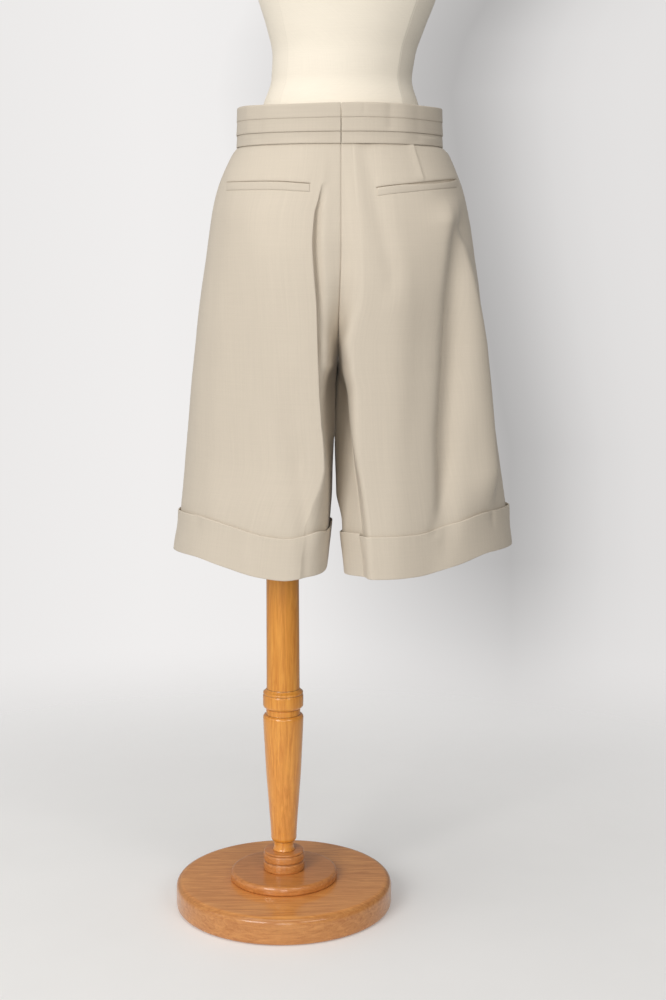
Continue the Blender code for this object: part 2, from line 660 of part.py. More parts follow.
def turned(name, profile, steps, material, x=0.0, y=0.0, z=0.0):
    """A turned piece: the profile spun round the Z axis."""
    mesh = bpy.data.meshes.new(name)
    verts = [(r, 0.0, h) for r, h in profile]
    mesh.from_pydata(verts, [(i, i + 1) for i in range(len(verts) - 1)], [])
    obj = bpy.data.objects.new(name, mesh)
    SET.objects.link(obj)
    obj.location = (x, y, z)
    spin = obj.modifiers.new("spin", "SCREW")
    spin.axis = "Z"
    spin.steps = steps
    spin.render_steps = steps
    spin.use_merge_vertices = True
    spin.merge_threshold = 1e-5
    spin.use_normal_calculate = True
    spin.use_smooth_shade = True
    obj.data.materials.append(material)
    return obj


# --------------------------------------------------------------------- build
clean_scene()
SET = bpy.data.collections.new("pleated_shorts_on_form")
bpy.context.scene.collection.children.link(SET)

CLOTH = {}
for piece in ("back_left", "back_right", "front_left", "front_right",
              "waistband_left", "waistband_right", "cuff_left", "cuff_right",
              "welt_left", "welt_right", "fly_placket"):
    CLOTH[piece] = add_material("cloth_" + piece, (0.62, 0.56, 0.47), 0.85, 0.3)

PANELS = {}
for side in ("left", "right"):
    pair = leg_side(side)
    rows = leg_rows()
    for face in ("back", "front"):
        grid, dirs = pair[face]
        outer, inner = [], []
        for i, row in enumerate(grid):
            low = rows[i][0] < CROTCH_Z - 1e-6
            line = list(row)
            line[0] = pull(row, i, 0)
            if rows[i][0] <= CROTCH_Z + 1e-6:
                line[-1] = pull(row, i, -1)
            outer.append([clear_centre(along(p, n, HALF), side, p[2], low)
                          for p, n in zip(line, dirs[i])])
            inner.append([clear_centre(along(p, n, -HALF), side, p[2], low)
                          for p, n in zip(line, dirs[i])])
        PANELS[(side, face)] = (outer, inner, grid, dirs)
        name = face + "_" + side
        wall_object(name, outer, inner, CLOTH[name], face == "front")

# turn-ups: rings made from the legs' own points, moved out
for side in ("left", "right"):
    ring = []
    for face in ("back", "front"):
        grid, dirs = PANELS[(side, face)][2:]
        cols = range(len(grid[0])) if face == "back" else range(len(grid[0]) - 2, 0, -1)
        for j in cols:
            top, mid, low = grid[-3][j], grid[-2][j], grid[-1][j]
            nt, nm, nl = dirs[-3][j], dirs[-2][j], dirs[-1][j]
            base = (low[0], low[1], low[2] - GAP - LIP)
            shelf = (low[0], low[1], low[2] - GAP)
            bed = HALF + GAP
            far = bed + CUFF_WALL
            ring.append([
                along(top, nt, bed + CUFF_STAND), along(mid, nm, bed + CUFF_STAND * 0.3),
                along(shelf, nl, bed), along(shelf, nl, -HALF),
                along(base, nl, -HALF * 0.6), along(base, nl, far - 0.0005),
                along(shelf, nl, far), along(mid, nm, far + CUFF_STAND * 0.3),
                along(top, nt, far + CUFF_STAND)])
    name = "cuff_" + side
    loop_object(name, ring, CLOTH[name], True)

# waistband: one half on each side, from the rear seam round to the front
for side in ("left", "right"):
    sign = -1.0 if side == "left" else 1.0
    places = [("back", 2 - t * 0.5) for t in range(0, 2)]
    places += [("back", 1 - t / 9) for t in range(0, 10)]
    places += [("front", t / 9) for t in range(1, 10)]
    places += [("front", 1 + t * 0.5) for t in range(1, 3)]
    line = [base_point(side, f, u, BAND_BOTTOM) for f, u in places]
    loops = []
    for k, (x, y) in enumerate(line):
        a = line[max(k - 1, 0)]
        b = line[min(k + 1, len(line) - 1)]
        tx, ty = b[0] - a[0], b[1] - a[1]
        d = math.hypot(tx, ty)
        nx, ny = ty / d, -tx / d
        if k in (0, len(line) - 1):
            nx, ny = 0.0, (-1.0 if k == 0 else 1.0)
            x = SEAM
        loop = [(-HALF, BAND_BOTTOM), (-HALF, BAND_TOP)]
        outer = BAND_WALL - HALF
        high = BAND_TOP
        for low in (*TUCK_LINES, BAND_BOTTOM):
            loop.append((outer, high))
            loop.append((outer + TUCK, low + 0.0005))
            high = low
        loops.append([(sign * (x + nx * o), y + ny * o, z) for o, z in loop])
    name = "waistband_" + side
    loop_object(name, loops, CLOTH[name], False)


def on_panel(panel, col, row, out):
    """A place on the triangles of a panel's outer face, moved out."""
    outer, inner, grid, dirs = panel
    i, j = min(int(row), len(grid) - 2), min(int(col), len(grid[0]) - 2)
    s, t = col - j, row - i
    a, b, c, d = outer[i][j], outer[i][j + 1], outer[i + 1][j + 1], outer[i + 1][j]
    if len(grid[0]) > BACK_COLS + FORK_COLS + 1:
        if s + t <= 1:
            p = along(along(a, sub(b, a), s), sub(d, a), t)
        else:
            p = along(along(c, sub(d, c), 1 - s), sub(b, c), 1 - t)
    elif s >= t:
        p = along(along(a, sub(b, a), s), sub(c, b), t)
    else:
        p = along(along(a, sub(d, a), t), sub(c, d), s)
    n = mix(mix(dirs[i][j], dirs[i][j + 1], s),
            mix(dirs[i + 1][j], dirs[i + 1][j + 1], s), t)
    return along(p, unit(n), out)


def row_of(z):
    for i in range(len(ROWS) - 1):
        if ROWS[i + 1] <= z:
            return i + (ROWS[i] - z) / (ROWS[i] - ROWS[i + 1])
    return len(ROWS) - 1


def col_of(panel, half_x, row, first, last):
    lo, hi = float(first), float(last)
    for _ in range(40):
        mid = (lo + hi) / 2
        if abs(on_panel(panel, mid, row, 0.0)[0]) > half_x:
            lo = mid
        else:
            hi = mid
    return lo


# welts of the rear pockets
for side in ("left", "right"):
    panel = PANELS[(side, "back")]
    line = table([(x, z) for x, z in WELTS[side]])
    x0, x1 = WELTS[side][0][0], WELTS[side][-1][0]
    marks = {col_of(panel, x0, row_of(line(1, x0)), 0, BACK_COLS + FORK_COLS),
             col_of(panel, x1, row_of(line(1, x1)), 0, BACK_COLS + FORK_COLS)}
    first, last = min(marks), max(marks)
    for j in range(int(first), int(last) + 1):
        for mark in (float(j), j + 0.35, j + 0.65):
            if first < mark < last:
                marks.add(mark)
    loops = []
    for col in sorted(marks):
        x = abs(on_panel(panel, col, row_of(1.08), 0.0)[0])
        z = line(1, min(max(x, x0), x1))
        high, low = row_of(z + WELT_HIGH / 2), row_of(z - WELT_HIGH / 2)
        mid = (high + low) / 2
        loops.append([
            on_panel(panel, col, high, GAP), on_panel(panel, col, high, GAP + WELT_WALL * 0.8),
            on_panel(panel, col, mid, GAP + WELT_WALL),
            on_panel(panel, col, low, GAP + WELT_WALL * 0.8), on_panel(panel, col, low, GAP),
            on_panel(panel, col, mid, GAP)])
    name = "welt_" + side
    loop_object(name, loops, CLOTH[name], False)

# fly placket: a curved strip on the front of the wearer's right side
panel = PANELS[("right", "front")]
first = len(panel[2][0]) - 1 - FORK_COLS
last = len(panel[2][0]) - 1
FLY_TOP = ROWS[0] - GAP
loops = []
outer, inner = [], []
fly_rows = [FLY_TOP, ROWS[1], ROWS[2], ROWS[3], ROWS[4], 1.0450, ROWS[5], 1.0150, 1.0000,
            ROWS[6], 0.9820, FLY_TOP - FLY_LONG]
for z in fly_rows:
    row = row_of(z)
    share = 1.0 - 0.62 * ramp(1.040, FLY_TOP - FLY_LONG, z)
    start = last - FORK_COLS * share
    o, n = [], []
    for k in range(2 * FORK_COLS + 1):
        col = start + (last - start) * k / (2 * FORK_COLS)
        o.append(on_panel(panel, col, row, GAP + FLY_WALL))
        n.append(on_panel(panel, col, row, GAP))
    outer.append([(max(p[0], SEAM), p[1], p[2]) for p in o])
    inner.append([(max(p[0], SEAM), p[1], p[2]) for p in n])
wall_object("fly_placket", outer, inner, CLOTH["fly_placket"], True)

# ------------------------------------------------------------- form and stand
LINEN = add_material("linen", (0.86, 0.80, 0.70), 0.8)
WOODS = {}
for piece in ("form_plate", "neck_cap", "base_disc", "base_step", "base_socket",
              "post_lower", "post_upper"):
    WOODS[piece] = add_material("wood_" + piece, (0.56, 0.29, 0.10), 0.3, 0.0, 0.6)


def form_ring(z, grow=1.0):
    half_x, back, front = FORM_AT(1, z), FORM_AT(2, z), FORM_AT(3, z)
    power, shift = FORM_AT(4, z), FORM_AT(5, z)
    ring = []
    for k in range(FORM_AROUND):
        q = 2 * math.pi * k / FORM_AROUND
        c, s = math.cos(q), math.sin(q)
        deep = front if s > 0 else -back
        x = half_x * math.copysign(abs(c) ** (2 / power), c)
        y = deep * math.copysign(abs(s) ** (2 / power), s)
        ring.append((x * grow + shift, y * grow, z))
    return ring


FORM_LEVELS = [row[0] for row in FORM_ROWS]
loop_object("form_torso", [form_ring(z) for z in FORM_LEVELS], LINEN, False)
plate = form_ring(FORM_LEVELS[0], PLATE_SCALE)
plate_loops = []
for z, inset in ((PLATE_BOTTOM, 0.985), (PLATE_BOTTOM + 0.002, 1.0),
                 (FORM_LEVELS[0] - WOOD_GAP, 1.0)):
    plate_loops.append([(x * inset, y * inset, z) for x, y, _ in plate])
loop_object("form_plate", plate_loops, WOODS["form_plate"], False)

turned("neck_cap", CAP, 24, WOODS["neck_cap"], CENTRE_X + 0.009, -0.001,
       FORM_LEVELS[-1] + WOOD_GAP)
turned("base_disc", DISC, 44, WOODS["base_disc"])
turned("base_step", STEP, 32, WOODS["base_step"])
turned("base_socket", SOCKET, 22, WOODS["base_socket"])
turned("post_lower", LOWER, 20, WOODS["post_lower"])
turned("post_upper", UPPER, 20, WOODS["post_upper"])

# the waistband's button, on the end that laps over at the front
HORN = add_material("horn", (0.33, 0.27, 0.20), 0.35)
button_y = RISE_ROWS[0][3] + BAND_WALL - HALF + TUCK + GAP
button = turned("band_button", BUTTON, 24, HORN, CENTRE_X + 0.0165,
                button_y, 1.1640)
button.rotation_euler = (-math.pi / 2, 0.0, 0.0)
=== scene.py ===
# Looks of the pleated shorts on their dress form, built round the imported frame.
# Metres, +Z up; the photographed back faces -Y and the wearer's left is -X.
import math

import bmesh
import bpy
import numpy as np
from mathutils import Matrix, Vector


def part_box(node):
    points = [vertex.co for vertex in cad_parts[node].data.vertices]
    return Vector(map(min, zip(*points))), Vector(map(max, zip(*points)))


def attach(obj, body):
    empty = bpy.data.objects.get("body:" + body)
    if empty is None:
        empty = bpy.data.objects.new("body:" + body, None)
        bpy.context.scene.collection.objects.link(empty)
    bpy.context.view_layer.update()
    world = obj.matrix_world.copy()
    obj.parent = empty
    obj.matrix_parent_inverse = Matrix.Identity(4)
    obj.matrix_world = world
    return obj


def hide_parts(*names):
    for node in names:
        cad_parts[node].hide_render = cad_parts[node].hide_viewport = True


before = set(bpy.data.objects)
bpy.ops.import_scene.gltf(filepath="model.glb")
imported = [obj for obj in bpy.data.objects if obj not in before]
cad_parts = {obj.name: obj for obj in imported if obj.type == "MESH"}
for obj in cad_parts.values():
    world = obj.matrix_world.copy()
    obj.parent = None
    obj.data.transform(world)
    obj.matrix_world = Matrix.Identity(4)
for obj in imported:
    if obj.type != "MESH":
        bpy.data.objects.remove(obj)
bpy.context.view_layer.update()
BODY = "root"

# ---- named sizes
CENTRE_X = 0.0864        # the garment's centre plane, from the pole's axis
HALF = 0.0010            # from the cloth's middle surface to its outer face
CLOTH = 0.0009           # thickness of the shown cloth
SEAM = 0.00012           # half of the gap left at a seam
BAND_TOP, BAND_BOTTOM = 1.1930, 1.1385
TUCK_LINES = (1.1735, 1.1548)
BAND_OUT = 0.0022        # outer face of a tuck at its top
TUCK = 0.0010            # how far the lower edge of a tuck stands out
SIDE_Y = 0.010           # the side seams lie a little to the front
CROTCH_Z = 0.833
CUFF_HIGH = 0.060        # the turn-up
HEM = 0.540              # height that the hem's own rows are measured from
LEVEL_STEP = 0.002       # spacing of the table of sections
SEAM_FLAT = 0.014        # folds are flat this close to a side seam
SIDES, FACES = ("left", "right"), ("back", "front")
SIGN = {"left": -1.0, "right": 1.0}      # the side's direction along x

HIP_ROWS = (  # z, left_x, right_x, back_y, front_y, back_n, front_n
    (1.1385, 0.1470, 0.1440, -0.1065, 0.1065, 2.00, 2.05),
    (1.1300, 0.1543, 0.1537, -0.1085, 0.1080, 2.00, 2.05),
    (1.1150, 0.1622, 0.1612, -0.1120, 0.1100, 2.05, 2.10),
    (1.1000, 0.1693, 0.1675, -0.1155, 0.1120, 2.10, 2.10),
    (1.0800, 0.1770, 0.1752, -0.1205, 0.1145, 2.10, 2.10),
    (1.0500, 0.1844, 0.1830, -0.1280, 0.1165, 2.10, 2.10),
    (1.0200, 0.1893, 0.1888, -0.1345, 0.1180, 2.05, 2.05),
    (0.9800, 0.1951, 0.1944, -0.1405, 0.1200, 2.00, 2.00),
    (0.9400, 0.2015, 0.2006, -0.1425, 0.1220, 1.95, 2.00),
    (0.9000, 0.2072, 0.2054, -0.1425, 0.1240, 1.90, 1.95),
    (0.8500, 0.2128, 0.2118, -0.1420, 0.1260, 1.85, 1.95),
    (0.8000, 0.2187, 0.2180, -0.1420, 0.1280, 1.80, 1.90),
    (0.7500, 0.2233, 0.2253, -0.1425, 0.1295, 1.78, 1.90),
    (0.7000, 0.2282, 0.2327, -0.1435, 0.1310, 1.75, 1.85),
    (0.6500, 0.2330, 0.2405, -0.1450, 0.1325, 1.72, 1.85),
    (0.6150, 0.2368, 0.2458, -0.1460, 0.1335, 1.70, 1.80),
    (0.5950, 0.2388, 0.2484, -0.1470, 0.1340, 1.68, 1.80),
    (0.5650, 0.2450, 0.2532, -0.1490, 0.1350, 1.65, 1.80),
    (0.5300, 0.2500, 0.2562, -0.1500, 0.1360, 1.65, 1.80),
)
TURN_ROWS = (  # z, left_back, right_back, left_front, right_front
    (1.1385, 0.0200, 0.0190, 0.0320, 0.0320), (1.0950, 0.0240, 0.0219, 0.0320, 0.0320),
    (1.0800, 0.0270, 0.0230, 0.0320, 0.0320), (1.0600, 0.0314, 0.0249, 0.0321, 0.0321),
    (1.0450, 0.0356, 0.0265, 0.0322, 0.0322), (1.0200, 0.0380, 0.0290, 0.0325, 0.0325),
    (1.0050, 0.0388, 0.0304, 0.0327, 0.0327), (0.9800, 0.0378, 0.0320, 0.0330, 0.0330),
    (0.9500, 0.0355, 0.0325, 0.0334, 0.0330), (0.9200, 0.0330, 0.0302, 0.0334, 0.0323),
    (0.8900, 0.0318, 0.0238, 0.0326, 0.0302), (0.8600, 0.0310, 0.0195, 0.0301, 0.0268),
    (0.8300, 0.0300, 0.0201, 0.0271, 0.0226), (0.8000, 0.0290, 0.0253, 0.0247, 0.0183),
    (0.7750, 0.0276, 0.0263, 0.0234, 0.0149), (0.7450, 0.0262, 0.0274, 0.0227, 0.0112),
    (0.7200, 0.0242, 0.0287, 0.0225, 0.0087), (0.6950, 0.0235, 0.0312, 0.0227, 0.0077),
    (0.6700, 0.0285, 0.0346, 0.0232, 0.0071), (0.6400, 0.0400, 0.0389, 0.0241, 0.0130),
    (0.6000, 0.0510, 0.0440, 0.0290, 0.0240), (0.5300, 0.0590, 0.0480, 0.0340, 0.0290),
)
RISE_ROWS = (  # z, back_y, back_turn, front_y, front_turn
    (1.1385, -0.1065, 0.0, 0.1065, 0.0), (1.1000, -0.1140, 0.0, 0.1118, 0.0),
    (1.0500, -0.1238, 3.0, 0.1150, 2.0), (1.0000, -0.1302, 9.0, 0.1145, 12.0),
    (0.9600, -0.1300, 18.0, 0.1090, 30.0), (0.9300, -0.1245, 30.0, 0.1010, 48.0),
    (0.9000, -0.1120, 47.0, 0.0880, 64.0), (0.8800, -0.0985, 60.0, 0.0750, 74.0),
    (0.8600, -0.0770, 73.0, 0.0540, 82.0), (0.8450, -0.0530, 79.0, 0.0290, 87.0),
    (0.8370, -0.0345, 82.0, 0.0040, 90.0), (0.8330, -0.0200, 84.0, -0.0200, 90.0),
)
INSEAM_ROWS = (  # z, left_x, left_y, left_turn, right_x, right_y, right_turn
    (0.8330, 0.0000, -0.0200, 84.0, 0.0000, -0.0200, 84.0),
    (0.8200, 0.0026, -0.0210, 76.0, 0.0045, -0.0380, 86.0),
    (0.8000, 0.0050, -0.0220, 72.0, 0.0112, -0.0560, 88.0),
    (0.7800, 0.0051, -0.0235, 70.0, 0.0138, -0.0660, 88.0),
    (0.7600, 0.0052, -0.0250, 70.0, 0.0152, -0.0760, 86.0),
    (0.7350, 0.0054, -0.0290, 72.0, 0.0173, -0.0880, 80.0),
    (0.7160, 0.0088, -0.0330, 76.0, 0.0188, -0.0960, 74.0),
    (0.6850, 0.0097, -0.0360, 80.0, 0.0219, -0.1070, 64.0),
    (0.6500, 0.0112, -0.0400, 84.0, 0.0260, -0.1160, 54.0),
    (0.6000, 0.0152, -0.0440, 88.0, 0.0306, -0.1250, 46.0),
    (0.5300, 0.0215, -0.0480, 90.0, 0.0345, -0.1270, 42.0),
)
NEAR_ROWS = (  # z, left, right
    (1.2000, 0.0012, 0.0012), (0.8330, 0.0013, 0.0013), (0.8290, 0.0016, 0.0009),
    (0.8150, 0.0036, -0.0011), (0.8000, 0.0048, -0.0025), (0.7330, 0.0049, -0.0026),
    (0.7160, 0.0084, -0.0031), (0.6865, 0.0092, -0.0030), (0.6566, 0.0100, -0.0023),
    (0.6267, 0.0109, -0.0015), (0.5966, 0.0112, -0.0008), (0.5750, 0.0125, 0.0006),
    (0.5600, 0.0150, 0.0025), (0.5300, 0.0190, 0.0061),
)
REACH = {("left", "back"): 0.72, ("right", "back"): 0.45,     # of the chord, at the seam
         ("left", "front"): 0.40, ("right", "front"): 0.40}
SOFT_ROWS = (  # z, left, right: how round the back's turn at the ridge is
    (1.2000, 0.0030, 0.0110), (0.9300, 0.0030, 0.0140), (0.9050, 0.0060, 0.0147),
    (0.8860, 0.0100, 0.0160), (0.8700, 0.0140, 0.0180), (0.8550, 0.0160, 0.0165),
    (0.8410, 0.0160, 0.0140), (0.8300, 0.0145, 0.0130), (0.8000, 0.0085, 0.0150),
    (0.7780, 0.0050, 0.0160), (0.7450, 0.0040, 0.0165), (0.7000, 0.0070, 0.0135),
    (0.6700, 0.0120, 0.0110), (0.6400, 0.0210, 0.0110), (0.6000, 0.0300, 0.0110),
    (0.5300, 0.0330, 0.0110),
)
FRONT_SOFT = {"left": 0.0140, "right": 0.0150}
LEAN = 0.0130            # how far the left back's fold leans in at most
APART = {"left": 0.0130, "right": 0.0110}     # between the fronts, at the turn-ups
SWAY, SWAY_TURNS = 0.0013, 75                 # the slow wave of the inner faces
HEM_ROWS = {  # place along the panel (0 side seam, 1 ridge, 2 inner seam), height
    ("left", "back"): ((0.0, 0.5525), (0.3, 0.5545), (0.55, 0.5460), (0.78, 0.5370),
                       (0.92, 0.5345), (1.0, 0.5370), (1.2, 0.5395), (2.0, 0.5425)),
    ("right", "back"): ((0.0, 0.5600), (0.3, 0.5605), (0.55, 0.5490), (0.78, 0.5385),
                        (1.0, 0.5370), (1.4, 0.5368), (2.0, 0.5365)),
    ("left", "front"): ((0.0, 0.5525), (0.4, 0.5530), (0.8, 0.5460), (1.0, 0.5435),
                        (1.5, 0.5430), (2.0, 0.5425)),
    ("right", "front"): ((0.0, 0.5600), (0.4, 0.5570), (0.8, 0.5470), (1.0, 0.5430),
                         (1.5, 0.5350), (1.8, 0.5345), (2.0, 0.5365)),
}
FOLD_ROWS = (  # side, face, z1, x1, z2, x2, out, wide, fade
    ("right", "back", 1.0400, 0.1640, 0.6050, 0.1340, -0.0030, 0.0220, 0.070),
    ("right", "back", 0.9400, 0.0840, 0.5600, 0.0760, 0.0030, 0.0240, 0.090),
    ("right", "back", 1.1250, 0.0330, 0.9600, 0.0690, -0.0026, 0.0130, 0.045),
    ("left", "back", 0.7600, 0.0700, 0.5500, 0.0470, -0.0032, 0.0150, 0.080),
    ("left", "back", 0.9800, 0.1450, 0.5700, 0.1650, -0.0030, 0.0300, 0.110),
    ("right", "front", 0.9300, 0.1380, 0.5700, 0.1500, -0.0070, 0.0260, 0.090),
    ("right", "front", 0.8800, 0.0700, 0.5500, 0.0800, 0.0040, 0.0220, 0.090),
    ("left", "front", 0.9500, 0.1480, 0.5600, 0.1420, -0.0060, 0.0280, 0.090),
    ("left", "front", 0.8700, 0.0760, 0.5500, 0.0680, 0.0045, 0.0230, 0.090),
)
PLEAT_ROWS = (  # x_top, x_low, high, z_full, z_gone
    (0.0600, 0.0760, 0.0032, 1.0600, 0.8600),
    (0.0890, 0.1180, 0.0030, 1.0700, 0.9100),
)
PLEAT_TOP = 0.0011       # height of a pleat where the waistband holds it
PLEAT_STEP = 0.0016      # width of the pressed step
PLEAT_RAMP = 0.0160      # width of the pleat's flat side
# finer creases: side, face, line of (z, half-width), height, width towards the
# centre, width towards the side, fade above and below the line's ends
CREASE_ROWS = (
    ("right", "back", ((1.128, 0.014), (1.035, 0.029), (0.926, 0.033)),
     0.0007, 0.0090, 0.0100, 0.020, 0.040),
    ("right", "back", ((1.010, 0.162), (0.970, 0.1605), (0.930, 0.1590), (0.860, 0.1570),
                       (0.790, 0.1535), (0.740, 0.1500)),
     -0.0180, 0.0115, 0.0170, 0.060, 0.200),
    ("right", "back", ((1.030, 0.160), (1.000, 0.169), (0.930, 0.180), (0.860, 0.192),
                       (0.790, 0.200), (0.720, 0.207), (0.680, 0.211)),
     0.0175, 0.0255, 0.0105, 0.045, 0.075),
    ("right", "back", ((0.700, 0.158), (0.600, 0.134)),
     -0.0022, 0.0100, 0.0070, 0.050, 0.012),
    ("right", "back", ((1.060, 0.100), (0.900, 0.112), (0.760, 0.103)),
     -0.0008, 0.0180, 0.0180, 0.060, 0.080),
    ("left", "back", ((0.700, 0.056), (0.640, 0.050), (0.530, 0.047)),
     -0.0022, 0.0060, 0.0100, 0.045, 0.020),
    ("left", "back", ((0.980, 0.105), (0.760, 0.096), (0.620, 0.098)),
     0.0009, 0.0170, 0.0200, 0.080, 0.050),
    ("left", "back", ((1.060, 0.168), (0.860, 0.190), (0.620, 0.205)),
     -0.0010, 0.0120, 0.0100, 0.050, 0.060),
    ("left", "front", ((0.900, 0.110), (0.740, 0.104), (0.600, 0.108)),
     0.0014, 0.0150, 0.0180, 0.080, 0.040),
    ("left", "front", ((0.760, 0.176), (0.600, 0.186)),
     -0.0012, 0.0120, 0.0100, 0.060, 0.040),
    ("right", "front", ((0.860, 0.110), (0.740, 0.118), (0.600, 0.112)),
     0.0013, 0.0160, 0.0150, 0.080, 0.040),
    ("right", "front", ((1.020, 0.170), (0.860, 0.184), (0.700, 0.190)),
     -0.0011, 0.0120, 0.0100, 0.060, 0.060),
)
WELTS = {"left": ((0.0430, 1.0778), (0.0980, 1.0812), (0.1610, 1.0818)),
         "right": ((0.0500, 1.0730), (0.1110, 1.0802), (0.1636, 1.0863))}
WELT_HIGH = 0.0110
DART = ((1.0870, 0.1146), (1.1385, 0.0990))   # right back, (z, half-width)


# ---- helpers
def ramp(a, b, t):
    """0 at a, 1 at b, smooth between."""
    t = np.clip((np.asarray(t, float) - a) / (b - a), 0.0, 1.0)
    return t * t * (3 - 2 * t)


def bell(x, wide):
    """1 at 0, dying away smoothly on both sides."""
    return np.exp(-(x / wide) ** 2)


def circle(count):
    """Cosine and sine of evenly spaced angles."""
    turns = [2 * math.pi * k / count for k in range(count)]
    return [(math.cos(q), math.sin(q)) for q in turns]


def curve(rows):
    """Smooth, never overshooting curves through the columns of a table."""
    rows = np.array(sorted(rows), float)
    zs, gap = rows[:, 0], np.diff(rows[:, 0])
    slopes = np.zeros_like(rows)
    for k in range(1, rows.shape[1]):
        d = np.diff(rows[:, k]) / gap
        slopes[0, k], slopes[-1, k] = d[0], d[-1]
        for i in range(1, len(zs) - 1):
            if d[i - 1] * d[i] > 0:
                a, b = 2 * gap[i] + gap[i - 1], gap[i] + 2 * gap[i - 1]
                slopes[i, k] = (a + b) / (a / d[i - 1] + b / d[i])

    def value(k, z):
        z = np.clip(np.asarray(z, float), zs[0], zs[-1])
        i = np.clip(np.searchsorted(zs, z, side="right") - 1, 0, len(zs) - 2)
        h = gap[i]
        t = (z - zs[i]) / h
        v, m = rows[:, k], slopes[:, k]
        return ((1 + 2 * t) * (1 - t) ** 2 * v[i] + t * (1 - t) ** 2 * h * m[i]
                + t * t * (3 - 2 * t) * v[i + 1] + t * t * (t - 1) * h * m[i + 1])
    return value


def run_along(*axes):
    """Length along a line of points, given its coordinates."""
    steps = [np.diff(v) for v in axes]
    return np.concatenate([[0], np.cumsum(np.sqrt(sum(d * d for d in steps)))])


HIP_AT, TURN_AT, RISE_AT = curve(HIP_ROWS), curve(TURN_ROWS), curve(RISE_ROWS)
INSEAM_AT, NEAR_AT = curve(INSEAM_ROWS), curve(NEAR_ROWS)
SOFT_AT = curve(SOFT_ROWS)
HEM_AT = {key: curve(rows) for key, rows in HEM_ROWS.items()}


def pick(side, face):
    """A panel's column in a table of left back, right back, left front, right front."""
    return 1 + SIDES.index(side) + 2 * FACES.index(face)


def row_line(side, face, z, places):
    """A level section: half-width and y at places 0 side seam, 1 ridge, 2 inner end."""
    left, back = side == "left", face == "back"
    wide = float(HIP_AT(1 if left else 2, z))
    deep = float(HIP_AT(3 if back else 4, z))
    power = 2 / float(HIP_AT(5 if back else 6, z))
    ridge = float(TURN_AT(pick(side, face), z))
    a, b = wide - ridge, deep - SIDE_Y
    q = np.linspace(0, math.pi / 2, 361)
    run = run_along(a * np.clip(np.cos(q), 0, 1) ** power, b * np.sin(q) ** power)
    at = np.interp(np.clip(places, 0, 1) * run[-1], run, q)
    x = ridge + a * np.clip(np.cos(at), 0, 1) ** power
    y = SIDE_Y + b * np.sin(at) ** power
    soft = float(SOFT_AT(1 if left else 2, z)) if back else FRONT_SOFT[side]
    reach = REACH[(side, face)]
    if z >= CROTCH_Z:
        k = 1 if back else 3
        sx, sy, turn = 0.0, float(RISE_AT(k, z)), float(RISE_AT(k + 1, z))
    else:
        k = 1 if left else 4
        sx, sy, turn = (float(INSEAM_AT(k + i, z)) for i in range(3))
        turn = turn if back else 180.0 - turn
        low = 0.62 if left and back else 0.35
        reach = reach + (low - reach) * float(ramp(CROTCH_Z, CROTCH_Z - 0.05, z))
    way = 1.0 if back else -1.0
    chord = math.hypot(sx - ridge, sy - deep)
    lean = 0.0
    if left and back:
        # the fold leans inwards beside the fork and at the leg's lower corner
        fork = ramp(0.92, 0.88, z) * ramp(0.78, 0.82, z)
        lean = LEAN * float(ramp(0.70, 0.60, z) + 0.40 * fork)
    c, s = math.cos(math.radians(turn)), math.sin(math.radians(turn))
    corners = ((ridge, deep), (ridge - min(soft, 0.4 * chord), deep + lean),
               (sx + c * reach * chord, sy - way * s * reach * chord), (sx, sy))
    t = np.clip(places - 1, 0, 1)
    w = ((1 - t) ** 3, 3 * t * (1 - t) ** 2, 3 * t * t * (1 - t), t ** 3)
    fx, fy = (w[0] * p[0] + w[1] * p[1] + w[2] * p[2] + w[3] * p[3]
              for p in zip(*corners))
    near = float(NEAR_AT(1 if left else 2, z))
    rest = near
    if not back:
        # below the crotch the inner faces hang close together, in one slow wave
        held = ramp(0.05, 0.45, t) * ramp(1.0, 0.72, t)
        apart = APART[side] * ramp(0.95, 0.75, t) * float(ramp(0.645, 0.605, z))
        sway = SIGN[side] * SWAY * np.sin(fy * SWAY_TURNS) * ramp(1.0, 0.85, t)
        sway = sway * float(ramp(CROTCH_Z, CROTCH_Z - 0.02, z) * ramp(0.66, 0.72, z))
        rest = near + apart + sway
        fx = fx + (rest - fx) * held * float(
            ramp(CROTCH_Z + 0.001, CROTCH_Z - 0.005, z))
    fx = np.maximum(fx, rest + (sx - near) * ramp(1.985, 2.0, places))
    return np.where(places <= 1, x, fx), np.where(places <= 1, y, fy)


LEVELS = np.arange(BAND_BOTTOM + 0.002, 0.527, -LEVEL_STEP)
PLACES = np.concatenate([np.linspace(0, 1, 420), np.linspace(1, 2, 421)[1:]])


